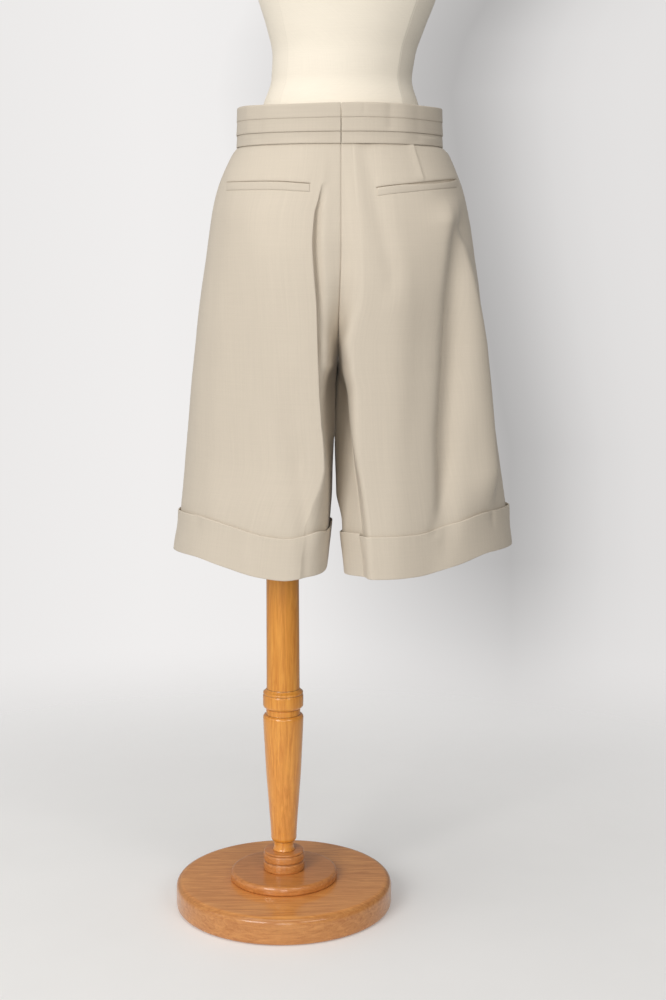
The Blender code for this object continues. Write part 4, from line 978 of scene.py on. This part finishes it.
def band_object(side):
    back, front = (np.array(row_line(side, face, BAND_BOTTOM, PLACES)) for face in FACES)
    line = np.concatenate([back[:, ::-1], front[:, 1:]], axis=1)
    run = run_along(*line)
    ends = np.array((0.0, 0.0003, 0.0007, 0.0012, 0.0020, 0.0032))
    total = run[-1]
    at = np.concatenate([ends, np.linspace(0.0050, total - 0.0050, 190),
                         total - ends[::-1]])
    px, py = (np.interp(at, run, axis) for axis in line)
    tx, ty = np.gradient(px), np.gradient(py)
    d = np.hypot(tx, ty)
    nx, ny = ty / d, -tx / d
    if ny[len(ny) // 4] > 0:
        nx, ny = -nx, -ny
    nx[[0, -1]], ny[0], ny[-1] = 0.0, -1.0, 1.0
    px = np.maximum(px, 0.00055)
    profile = band_profile()
    edge = np.minimum(at, total - at)
    rear = at < total * 0.5
    loops, uvs = [], []
    for k in range(len(at)):
        loop, uv = [], []
        for z, off in profile:
            level = (z - BAND_BOTTOM) / (BAND_TOP - BAND_BOTTOM)
            if off > 0.0002:
                off -= 0.0006 * bell(edge[k], 0.0009)
                off += 0.00035 * level * math.sin(at[k] * 75 + z * 60) * (edge[k] > 0.004)
                if rear[k]:
                    for s, centre, wide, deep, lowest in BAND_DENTS:
                        if s == side and z > lowest:
                            close = bell(px[k] - centre, wide)
                            off -= deep * close * float(ramp(lowest, lowest + 0.004, z))
            wave = 0.0009 * level * math.sin(at[k] * 31 + (2.4 if side == "left" else 0.4))
            loop.append((SIGN[side] * (px[k] + nx[k] * off) + CENTRE_X,
                         py[k] + ny[k] * off, z + wave))
            uv.append((z, at[k]))
        loops.append(loop)
        uvs.append(uv)
    return tube_object("waistband_half_" + side, np.array(loops), TWILL_CROSS, uvs)


BANDS = {side: band_object(side) for side in SIDES}


# ---- pieces on the panels
def on_surface(surface, run_of, z, out):
    """Points on a panel: run_of(table row) gives the run at each height in z."""
    rows = []
    for height, want, off in zip(z, run_of, out):
        spots = []
        for dz in (0.001, 0.0, -0.001):
            run, x, y = surface.at_height(height + dz)
            for r in (want - 0.0015, want, want + 0.0015):
                half = np.interp(r, run, x)
                spots.append((surface.sign * half + CENTRE_X, np.interp(r, run, y),
                              height + dz, np.interp(r, run, PLACES), half))
        s = np.array(spots)
        s[:, :3] = drifted(s[:, :3])
        du, dv = s[5, :3] - s[3, :3], s[7, :3] - s[1, :3]
        n = np.cross(du, dv) * surface.turn
        n /= np.linalg.norm(n)
        marks = [np.array(np.interp(-height, -LEVELS, m)) for m in surface.marks]
        relief = float(leg_relief(surface, s[4, 4], np.array(height), s[4, 3],
                                  np.array(want), marks, np.array(height), False))
        rows.append(s[4, :3] + n * (HALF + relief + off))
    return rows


def run_at_half(surface, half, z):
    """The run of a half-width on the outer part of a panel at one height."""
    first = PLACES <= 1
    run, x, _ = surface.at_height(z)
    return float(np.interp(-half, -x[first], run[first]))


def welt_object(side):
    surface = SURFACES[(side, "back")]
    x0, x1 = WELTS[side][0][0], WELTS[side][-1][0]
    halves = np.concatenate([[x0, x0 + 0.0004], np.linspace(x0 + 0.001, x1 - 0.001, 52),
                             [x1 - 0.0004, x1]])
    profile = ((0.0048, -0.0010), (0.0053, 0.0000), (0.0052, 0.0006), (0.0046, 0.0009),
               (0.0020, 0.0010), (-0.0010, 0.0008), (-0.0040, 0.0006), (-0.0052, 0.0003),
               (-0.0056, -0.0002), (-0.0050, -0.0006), (0.0000, -0.0002), (0.0040, -0.0006))
    loops, uvs = [], []
    for k, half in enumerate(halves):
        centre = float(WELT_AT[side](1, half))
        close = 0.35 if k in (0, len(halves) - 1) else 1.0
        gape = float(welt_gape(side, half))
        zs = [centre + dz - gape * float(ramp(0.0, 0.0050, dz)) for dz, _ in profile]
        runs = [run_at_half(surface, half, z) for z in zs]
        outs = [o * close for _, o in profile]
        loops.append(on_surface(surface, runs, zs, outs))
        uvs.append([(z, half) for z in zs])
    return tube_object("pocket_welt_" + side, np.array(loops), TWILL_CROSS, uvs)


WELT_OBJECTS = {side: welt_object(side) for side in SIDES}

FLY_TOP, FLY_LOW, FLY_BEND = BAND_BOTTOM - 0.0006, 0.9732, 1.020
FLY_WIDE = 0.0315


def fly_width(z):
    """The placket's width: straight, then curving in to its foot."""
    bend = np.clip((FLY_BEND - z) / (FLY_BEND - FLY_LOW), 0, 1)
    return FLY_WIDE * (1 - 0.62 * (1 - np.sqrt(np.clip(1 - bend ** 2.2, 0, 1))))


def fly_object():
    surface = SURFACES[("right", "front")]
    heights = np.concatenate([np.linspace(FLY_TOP, FLY_BEND, 34),
                              np.linspace(FLY_BEND, FLY_LOW, 26)[1:]])
    shares = np.concatenate([[0, 0.02, 0.05], np.linspace(0.1, 0.9, 14), [0.95, 0.98, 1]])
    outer, inner, uv = [], [], []
    for z in heights:
        end = float(np.interp(-z, -LEVELS, surface.marks[-1]))
        runs = [end - fly_width(z) * s for s in shares]
        rise = [0.0011 - 0.0005 * bell(1 - s, 0.03)
                - 0.0006 * bell(s, 0.03) for s in shares]
        zs = [z] * len(runs)
        outer.append(on_surface(surface, runs, zs, rise))
        inner.append(on_surface(surface, runs, zs, [0.0001] * len(runs)))
        uv.append([(r, z) for r in runs])
    outer, inner = np.array(outer), np.array(inner)
    for grid in (outer, inner):
        grid[..., 0] = np.maximum(grid[..., 0],
                                  CENTRE_X + centre_drift(grid[..., 2]) + SEAM)
    return shell_object("fly_placket_cover", outer, inner, TWILL, np.array(uv))


FLY = fly_object()


def stitch_row(name, points, outs, material, long=0.0023, thick=0.00028):
    """Short raised threads laid end to end along a line of points."""
    points, outs = np.array(points), np.array(outs)
    run = run_along(*points.T)
    verts, faces = [], []
    pitch = long + 0.0008
    for k in range(int(run[-1] / pitch)):
        base = len(verts)
        for s, size in ((0.0, 0.35), (0.18, 1.0), (0.5, 1.15), (0.82, 1.0), (1.0, 0.35)):
            at = k * pitch + s * long
            p, q, o = (np.array([np.interp(spot, run, axis) for axis in line.T])
                       for spot, line in ((at, points), (at + 1e-4, points), (at, outs)))
            o /= np.linalg.norm(o)
            w = np.cross(q - p, o)
            w /= np.linalg.norm(w)
            verts += [p + (w * c + o * (d * 0.7 + 0.25)) * thick * size
                      for c, d in circle(6)]
        faces += ring_faces(5, 6, base)
        faces.append([base + a for a in range(5, -1, -1)])
        faces.append([base + 24 + a for a in range(6)])
    return new_object(name, verts, faces, material)


THREAD = two_tone("sewing_thread", 2600.0, (0.50, 0.43, 0.34), (0.62, 0.55, 0.45),
                  0.35, 0.65, (0.3, 0.0001), 0.6, Sheen_Weight=0.1)


def fly_stitches():
    surface = SURFACES[("right", "front")]
    path, above = [], []
    for z in np.concatenate([np.linspace(FLY_TOP - 0.002, FLY_BEND, 60),
                             np.linspace(FLY_BEND, FLY_LOW + 0.0035, 40)[1:]]):
        end = float(np.interp(-z, -LEVELS, surface.marks[-1]))
        run = end - (fly_width(z) - 0.0040)
        a, b = on_surface(surface, [run, run], [z, z], [0.00112, 0.00312])
        path.append(a)
        above.append((b - a) / 0.002)
    return stitch_row("fly_stitching", path, above, THREAD)


FLY_STITCHES = fly_stitches()


# ---- button
HORN = two_tone("horn", 1.0, (0.10, 0.062, 0.038), (0.33, 0.24, 0.15), 0.35, 0.65,
                (0.05, 0.0004), 0.32, (180, 60, 320), (4.0, 0.6, 0.8),
                Coat_Weight=0.3, Coat_Roughness=0.15)


def button_object():
    low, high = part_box("band_button")
    cx, cz = (low[0] + high[0]) / 2, (low[2] + high[2]) / 2
    back, radius = low[1], (high[0] - low[0]) / 2
    deep = high[1] - low[1]
    shape = ((0.0, 0.62), (0.55, 0.64), (0.66, 0.70), (0.76, 0.92), (0.86, 1.0),
             (0.95, 0.90), (1.0, 0.66), (1.0, 0.30), (0.93, 0.02), (0.80, 0.0), (0.0, 0.0))
    rows = []
    for (r0, h0), (r1, h1) in zip(shape, shape[1:]):
        n = max(2, int(abs(r1 - r0) * 34))
        for t in np.arange(n) / n:
            s = t if h0 == h1 else t * t * (3 - 2 * t)
            rows.append((r0 + (r1 - r0) * t, h0 + (h1 - h0) * s))
    rows.append(shape[-1])
    around, verts = 72, []
    hole = 0.0017            # the holes' centres, from the button's centre
    for k, (r, h) in enumerate(rows):
        for c, d in circle(around):
            dx, dz, dip = r * radius * c, r * radius * d, 0.0
            if k < len(rows) // 2:
                for hx in (-hole, hole):
                    for hz in (-hole, hole):
                        far = math.hypot(dx - hx, dz - hz)
                        dip += 0.0014 * math.exp(-(far / 0.00062) ** 4)
            least = 0.0002 if k < 40 else 0
            verts.append((cx + dx, back + max(h * deep - dip, least), cz + dz))
    obj = new_object("waist_button", verts, ring_faces(len(rows), around), HORN,
                     clean="join")
    verts, faces = [], []
    for x in (-hole - 0.0002, -hole + 0.0002, hole - 0.0002, hole + 0.0002):
        faces += ring_faces(9, 8, len(verts))
        for t in np.linspace(0, 1, 9):
            y = back + deep * 0.62 + 0.0004 * math.sin(math.pi * t) - 0.0004
            verts += [(cx + x + 0.00026 * c, y + 0.00026 * d, cz - hole + 2 * hole * t)
                      for c, d in circle(8)]
    return obj, new_object("button_thread", verts, faces, THREAD)


BUTTON, BUTTON_THREAD = button_object()


# ---- form
FORM_ROWS = (  # z, half_x, back_y, front_y, power, shift
    (0.9000, 0.1500, -0.0960, 0.0740, 2.2, 0.0),
    (0.9060, 0.1575, -0.1020, 0.0800, 2.2, 0.0),
    (0.9250, 0.1650, -0.1130, 0.0880, 2.2, 0.0),
    (0.9550, 0.1705, -0.1215, 0.0965, 2.2, 0.0),
    (1.0000, 0.1722, -0.1270, 0.1050, 2.2, 0.0),
    (1.0500, 0.1670, -0.1205, 0.1080, 2.15, 0.0),
    (1.0900, 0.1560, -0.1140, 0.1080, 2.1, 0.0),
    (1.1200, 0.1445, -0.1078, 0.1062, 2.05, 0.0),
    (1.1420, 0.1330, -0.1051, 0.1051, 2.0, 0.0),
    (1.1650, 0.1210, -0.0985, 0.0985, 2.0, 0.0),
    (1.2000, 0.1108, -0.0880, 0.0875, 2.0, 0.0002),
    (1.2350, 0.1005, -0.0805, 0.0795, 2.0, 0.0012),
    (1.2650, 0.1018, -0.0805, 0.0805, 2.0, 0.0042),
    (1.3050, 0.1125, -0.0845, 0.0880, 2.05, 0.0070),
    (1.3440, 0.1262, -0.0900, 0.0990, 2.1, 0.0087),
    (1.3900, 0.1390, -0.0955, 0.1150, 2.1, 0.0090),
    (1.4300, 0.1450, -0.0985, 0.1150, 2.1, 0.0090),
    (1.4800, 0.1500, -0.0970, 0.0980, 2.2, 0.0090),
    (1.5250, 0.1600, -0.0915, 0.0790, 2.3, 0.0090),
    (1.5550, 0.1600, -0.0830, 0.0660, 2.3, 0.0090),
    (1.5780, 0.1420, -0.0740, 0.0560, 2.2, 0.0090),
    (1.5970, 0.1060, -0.0640, 0.0490, 2.1, 0.0090),
    (1.6130, 0.0730, -0.0550, 0.0460, 2.0, 0.0090),
    (1.6300, 0.0575, -0.0500, 0.0450, 2.0, 0.0090),
    (1.6600, 0.0530, -0.0480, 0.0450, 2.0, 0.0090),
    (1.6850, 0.0520, -0.0470, 0.0450, 2.0, 0.0090),
)
FORM_AT = curve(FORM_ROWS)
FORM_SEAMS = (  # angle in degrees, height of the corner, depth of the seam's groove and strength of its painted shade
    (0.0, 0.0, 1.0), (180.0, 0.0, 1.0), (320.0, 0.0022, 1.0), (220.0, 0.0008, 0.35),
    (50.0, 0.0010, 1.0), (130.0, 0.0010, 1.0), (90.0, 0.0, 1.0))


def form_object():
    degrees = [k * 1.5 for k in range(240)]
    for angle, _, _ in FORM_SEAMS:
        degrees += [angle + d for d in (-0.9, -0.5, -0.25, 0.25, 0.5, 0.9)]
    degrees = np.array(sorted(set(round(d % 360, 3) for d in degrees)))
    q = np.radians(degrees)
    z = np.concatenate([[0.9000, 0.9008, 0.9020, 0.9040], np.arange(0.906, 1.684, 0.0045),
                        [1.6840, 1.6850]])
    c, s = np.cos(q)[None, :], np.sin(q)[None, :]
    get = [FORM_AT(k, z)[:, None] for k in range(1, 6)]
    deep = np.where(s > 0, get[2], -get[1])
    power = 2 / get[3]
    x = get[0] * np.sign(c) * np.abs(c) ** power
    y = deep * np.sign(s) * np.abs(s) ** power
    # the panel seams as soft corners with a fine sewn line
    seam = np.zeros_like(x)
    out = np.zeros_like(x)
    neck = ramp(1.60, 1.54, z)[:, None]
    # the panel seams as soft corners with a fine sewn line, whose groove is darkened with
    # painted shade
    for angle, corner, mark in FORM_SEAMS:
        far = np.abs((degrees - angle + 180) % 360 - 180)[None, :] + 0 * x
        out += corner * np.exp(-far / 9.0) * neck
        out -= 0.0005 * mark * bell(far, 0.35) * neck
        seam = np.maximum(seam, mark * bell(far, 0.40) * neck)
    length = np.hypot(x, y)
    grow = 1 + (out - 0.0004) / length
    points = np.stack([x * grow + get[4] + CENTRE_X, y * grow,
                       np.repeat(z[:, None], x.shape[1], 1)], axis=2)
    rows, cols = points.shape[:2]
    faces = ring_faces(rows, cols)
    faces.append(list(range(cols - 1, -1, -1)))
    faces.append(list(range((rows - 1) * cols, rows * cols)))
    step = np.hypot(np.diff(points[:, :, 0], axis=1), np.diff(points[:, :, 1], axis=1))
    run = np.concatenate([np.zeros((rows, 1)), np.cumsum(step, axis=1)], axis=1)
    uv = np.stack([run, points[..., 2]], axis=2).reshape(-1, 2)
    return new_object("form_cover", points.reshape(-1, 3), faces, linen_material(), uv,
                      50, marks=seam)


FORM = form_object()


# ---- turned wood
WOOD_LIGHT, WOOD_DARK = (0.83, 0.365, 0.058), (0.62, 0.220, 0.022)
POLE_WOOD = wood_material("beech_pole", (34, 34, 2.2), WOOD_LIGHT, WOOD_DARK, 1.7)
DISC_WOOD = wood_material("beech_disc", (2.4, 22, 30), (0.70, 0.310, 0.085),
                          (0.50, 0.180, 0.038), 4.1, 0.0400)
STEP_WOOD = wood_material("beech_step", (3.0, 26, 30), (0.66, 0.270, 0.070),
                          (0.48, 0.170, 0.034), 7.3)


def rounded_profile(profile, radius):
    """The turner's profile with its corners eased; the third value marks the grooves'
    painted shade.
    """
    out = [(profile[0][0], profile[0][1], 0.0)]
    for a, b, c in zip(profile, profile[1:], profile[2:]):
        a, b, c = np.array(a), np.array(b), np.array(c)
        la, lc = np.linalg.norm(b - a), np.linalg.norm(c - b)
        u, v = (b - a) / la, (c - b) / lc
        bend = u[0] * v[1] - u[1] * v[0]
        r = min(radius, 0.42 * la, 0.42 * lc)
        groove = 1.0 if bend < -0.35 else 0.0
        p, s = b - u * r, b + v * r
        for t in (0.0, 0.25, 0.5, 0.75, 1.0):
            point = (1 - t) ** 2 * p + 2 * t * (1 - t) * b + t * t * s
            out.append((point[0], point[1], groove * (1 - abs(2 * t - 1)) ** 0.5))
    out.append((profile[-1][0], profile[-1][1], 0.0))
    return out


def lathe(name, profile, material, radius=0.0008, x=0.0, y=0.0, z=0.0, around=144):
    rows = rounded_profile(profile, radius)
    full = []
    for (r0, h0, g0), (r1, h1, g1) in zip(rows, rows[1:]):
        n = max(1, int(math.hypot(r1 - r0, h1 - h0) / 0.012))
        for t in np.arange(n) / n:
            full.append((r0 + (r1 - r0) * t, h0 + (h1 - h0) * t, g0 + (g1 - g0) * t))
    full.append(rows[-1])
    ring = [p for p in full if p[0] > 1e-7]
    verts, marks = [], []
    for r, h, g in ring:
        verts += [(x + r * c, y + r * d, z + h) for c, d in circle(around)]
        marks += [g] * around
    faces = ring_faces(len(ring), around)
    for end, h in ((0, full[0][1]), (len(ring) - 1, full[-1][1])):
        centre = len(verts)
        verts.append((x, y, z + h))
        marks.append(0.0)
        for a in range(around):
            faces.append([end * around + (a + 1) % around, end * around + a, centre])
    return new_object(name, verts, faces, material, None, 50, True, marks)


DISC = ((0.0, 0.0), (0.1610, 0.0), (0.1640, 0.0020), (0.1650, 0.0060),
        (0.1650, 0.0310), (0.1640, 0.0350), (0.1612, 0.0384), (0.1570, 0.0401),
        (0.1540, 0.0405), (0.0, 0.0405))
STEP = ((0.0, 0.0407), (0.0800, 0.0407), (0.0815, 0.0425), (0.0815, 0.0490),
        (0.0800, 0.0530), (0.0770, 0.0545), (0.0, 0.0545))
SOCKET = ((0.0, 0.0547), (0.0305, 0.0547), (0.0314, 0.0565), (0.0314, 0.0665),
          (0.0296, 0.0680), (0.0296, 0.0695), (0.0312, 0.0710), (0.0312, 0.0790),
          (0.0290, 0.0812), (0.0302, 0.0822), (0.0302, 0.0842), (0.0290, 0.0850),
          (0.0, 0.0850))
LOWER = ((0.0, 0.0852), (0.0172, 0.0852), (0.0158, 0.0885), (0.0150, 0.0925),
         (0.0150, 0.0998), (0.0182, 0.1012), (0.0195, 0.1045), (0.0196, 0.1110),
         (0.0208, 0.1310), (0.0237, 0.1690), (0.0265, 0.2070), (0.0284, 0.2450),
         (0.0299, 0.2765), (0.0305, 0.2925), (0.0304, 0.2960), (0.0292, 0.2985),
         (0.0257, 0.2995), (0.0257, 0.3082), (0.0, 0.3082))
UPPER = ((0.0, 0.3084), (0.0257, 0.3084), (0.0262, 0.3095), (0.0292, 0.3108),
         (0.0305, 0.3135), (0.0305, 0.3290), (0.0290, 0.3312), (0.0302, 0.3325),
         (0.0300, 0.3345), (0.0270, 0.3368), (0.0250, 0.3395), (0.0249, 0.3600),
         (0.0244, 0.5000), (0.0240, 0.8878), (0.0, 0.8878))
CAP = ((0.0, 0.0), (0.0500, 0.0), (0.0520, 0.0020), (0.0520, 0.0090),
       (0.0495, 0.0125), (0.0430, 0.0145), (0.0, 0.0150))
TURNED = {
    "base_disc": lathe("stand_disc", DISC, DISC_WOOD, 0.0022),
    "base_step": lathe("stand_step", STEP, STEP_WOOD, 0.0016),
    "base_socket": lathe("stand_socket", SOCKET, STEP_WOOD, 0.0007),
    "post_lower": lathe("stand_vase", LOWER, POLE_WOOD, 0.0010),
    "post_upper": lathe("stand_pole", UPPER, POLE_WOOD, 0.0009),
    "neck_cap": lathe("form_neck_cap", CAP, POLE_WOOD, 0.0012,
                      CENTRE_X + 0.009, -0.001, 1.6852),
}


# the form's lowest section, which the plate follows a tenth smaller
PLATE_X, PLATE_BACK, PLATE_FRONT, PLATE_POWER = 0.1500, 0.0960, 0.0740, 2 / 2.2


def plate_object():
    """The wooden plate under the form, with its edges eased."""
    q = np.radians(np.arange(0, 360, 2.0))
    c, s = np.cos(q), np.sin(q)
    loops = []
    for z, grow in ((0.8880, 0.0), (0.8880, 0.880), (0.8884, 0.892), (0.8894, 0.8985),
                    (0.8908, 0.9000), (0.8985, 0.9000), (0.8998, 0.8990), (0.8998, 0.0)):
        grow = max(grow, 1e-5)
        x = PLATE_X * np.sign(c) * np.abs(c) ** PLATE_POWER * grow
        deep = np.where(s > 0, PLATE_FRONT, PLATE_BACK)
        y = deep * np.sign(s) * np.abs(s) ** PLATE_POWER * grow
        loops.append(np.stack([x + CENTRE_X, y, np.full_like(x, z)], axis=1))
    loops = np.array(loops)
    return tube_object("form_under_plate", loops, DISC_WOOD, loops[..., :2], False, 50,
                       np.zeros(loops.shape[:2]))


TURNED["form_plate"] = plate_object()


# ---- stage, light, camera
def floor_material():
    m = new_material("studio_floor")
    place = m.place()
    spots = m.noise(place, 5.0, 3.0)
    base = m.mix(m.range(spots, 0.3, 0.7), rgb(0.775, 0.770, 0.765),
                 rgb(0.795, 0.790, 0.785))
    # painted shade: the floor darkens towards the front
    near = m.range(m.add("SeparateXYZ", {0: place}).outputs["Y"], -0.75, 0.1, 0.86, 1.0)
    # painted light: the floor glows faintly to look brighter
    for key, value in {"Base Color": m.tint(base, near), "Roughness": 0.6,
                       "Specular IOR Level": 0.2, "Emission Strength": 0.20,
                       "Emission Color": rgb(0.79, 0.79, 0.79)}.items():
        m.put(m.main, key, value)
    away = m.add("VectorMath", {0: place}, operation="LENGTH").outputs["Value"]
    fade = m.range(away, 0.35, 1.7)
    fade.interpolation_type = "SMOOTHSTEP"
    both = m.add("MixShader", {0: fade, 1: m.main, 2: m.add("BsdfTransparent")})
    out = next(n for n in m.tree.nodes if n.type == "OUTPUT_MATERIAL")
    m.put(out, "Surface", both)
    return m.owner


def floor_object():
    around, low = 96, -0.0006
    verts = [(0.0, 0.0, low)]
    for r in (0.2, 0.5, 0.8, 1.1, 1.4, 1.7):
        verts += [(r * c, r * d, low) for c, d in circle(around)]
    faces = [[0, 1 + a, 1 + (a + 1) % around] for a in range(around)]
    faces += [[a, d, c, b] for a, b, c, d in ring_faces(6, around, 1)]
    mesh = bpy.data.meshes.new("studio_floor")
    mesh.from_pydata(verts, [], faces)
    obj = bpy.data.objects.new("studio_floor", mesh)
    bpy.context.scene.collection.objects.link(obj)
    mesh.materials.append(floor_material())
    return obj


FLOOR = floor_object()

scene = bpy.context.scene
scene.world = scene.world or bpy.data.worlds.new("studio")
w = Nodes(scene.world)
w.tree.nodes.clear()


def stops(value, low, high, tones):
    """A grey that follows (place, tone) stops between two places."""
    node = w.add("ValToRGB", {"Fac": w.range(value, low, high)})
    ends = node.color_ramp.elements
    while len(ends) < len(tones):
        ends.new(0.5)
    for element, (at, tone) in zip(ends, tones):
        element.position = (at - low) / (high - low)
        element.color = rgb(tone, tone, tone)
    return node


# the seen background: a pale wall, with the garment's soft shadow at its right
across, _, up = w.add("SeparateXYZ", {0: w.add("TexCoord").outputs["Generated"]}).outputs
wall = stops(across, -0.22, 0.22, (
    (-0.22, 0.82), (-0.11, 0.865), (0.0, 0.85), (0.10, 0.79), (0.22, 0.77)))
edge = stops(up, -0.12, 0.16, (
    (-0.12, 0.108), (0.03, 0.0780), (0.09, 0.0700), (0.12, 0.0770), (0.145, 0.0920),
    (0.16, 0.104)))
shade = stops(w.math("SUBTRACT", across, edge), -0.14, 0.14, (
    (-0.14, 0.0), (-0.05, 0.30), (0.0, 0.44), (0.015, 0.36), (0.037, 0.21),
    (0.055, 0.11), (0.075, 0.05), (0.10, 0.015), (0.13, 0.0)))
lower = stops(up, -0.32, -0.16, (
    (-0.32, 0.0), (-0.285, 0.05), (-0.235, 0.55), (-0.19, 0.95), (-0.16, 1.0)))
tone = w.times(wall, w.math("SUBTRACT", 1.0, w.times(shade, lower)))
colour = w.add("CombineXYZ", {0: w.times(tone, 1.008), 1: w.times(tone, 0.990),
                              2: w.times(tone, 0.982)})
seen = w.add("Background", {"Color": colour, "Strength": 1.0})
# the light that the wall throws back, paler at the wearer's left
lift = w.add("ValToRGB", {"Fac": w.range(across, -1.0, 1.0)})
pale, dark = lift.color_ramp.elements
pale.color, dark.color = rgb(0.62, 0.615, 0.605), rgb(0.30, 0.297, 0.292)
fill = w.add("Background", {"Color": lift, "Strength": 0.62})
straight = w.add("LightPath").outputs["Is Camera Ray"]
w.add("OutputWorld", {"Surface": w.add("MixShader", {0: straight, 1: fill, 2: seen})})


def area_light(name, spot, aim, size, watts):
    light = bpy.data.lights.new(name, "AREA")
    light.shape = "RECTANGLE"
    light.size, light.size_y = size
    light.energy = watts
    light.color = (1.0, 0.98, 0.95)
    obj = bpy.data.objects.new(name, light)
    obj.location = spot
    obj.rotation_euler = (Vector(aim) - Vector(spot)).to_track_quat("-Z", "Y").to_euler()
    scene.collection.objects.link(obj)
    return obj


LIGHTS = [
    area_light("key", (-1.75, -3.0, 2.0), (0.08, 0.0, 0.90), (1.5, 1.8), 67),
    area_light("side", (-3.0, -0.9, 1.3), (0.0, 0.0, 0.85), (1.4, 1.8), 6),
    area_light("fill", (1.9, -2.7, 2.3), (0.08, 0.0, 1.30), (1.6, 1.2), 23),
    area_light("front", (0.1, -3.6, 0.9), (0.08, 0.0, 0.85), (0.9, 1.2), 16),
    area_light("top", (-0.3, -0.6, 3.3), (0.0, 0.0, 0.5), (2.4, 2.4), 28),
]

scene.view_settings.view_transform = "Standard"
camera = bpy.data.cameras.new("photo_camera")
camera.lens = 58.9
camera.sensor_width = 36.0
camera.sensor_fit = "AUTO"
eye = bpy.data.objects.new("photo_camera", camera)
eye.location = (0.0753, -2.40, 0.9985)
eye.rotation_euler = (math.radians(81.193), 0.0, 0.0)
scene.collection.objects.link(eye)
scene.camera = eye


def tie(obj, slot, *nodes):
    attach(obj, BODY)
    if nodes:
        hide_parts(*nodes)


for (side, face), obj in PANELS.items():
    tie(obj, "cloth", face + "_" + side)
for side in SIDES:
    tie(CUFFS[side], "cloth", "cuff_" + side)
    tie(BANDS[side], "cloth", "waistband_" + side)
    tie(WELT_OBJECTS[side], "cloth", "welt_" + side)
tie(FLY, "cloth", "fly_placket")
tie(FLY_STITCHES, "cloth")
tie(BUTTON, "button", "band_button")
tie(BUTTON_THREAD, "cloth")
tie(FORM, "linen", "form_torso")
for node, obj in TURNED.items():
    tie(obj, "wood", node)
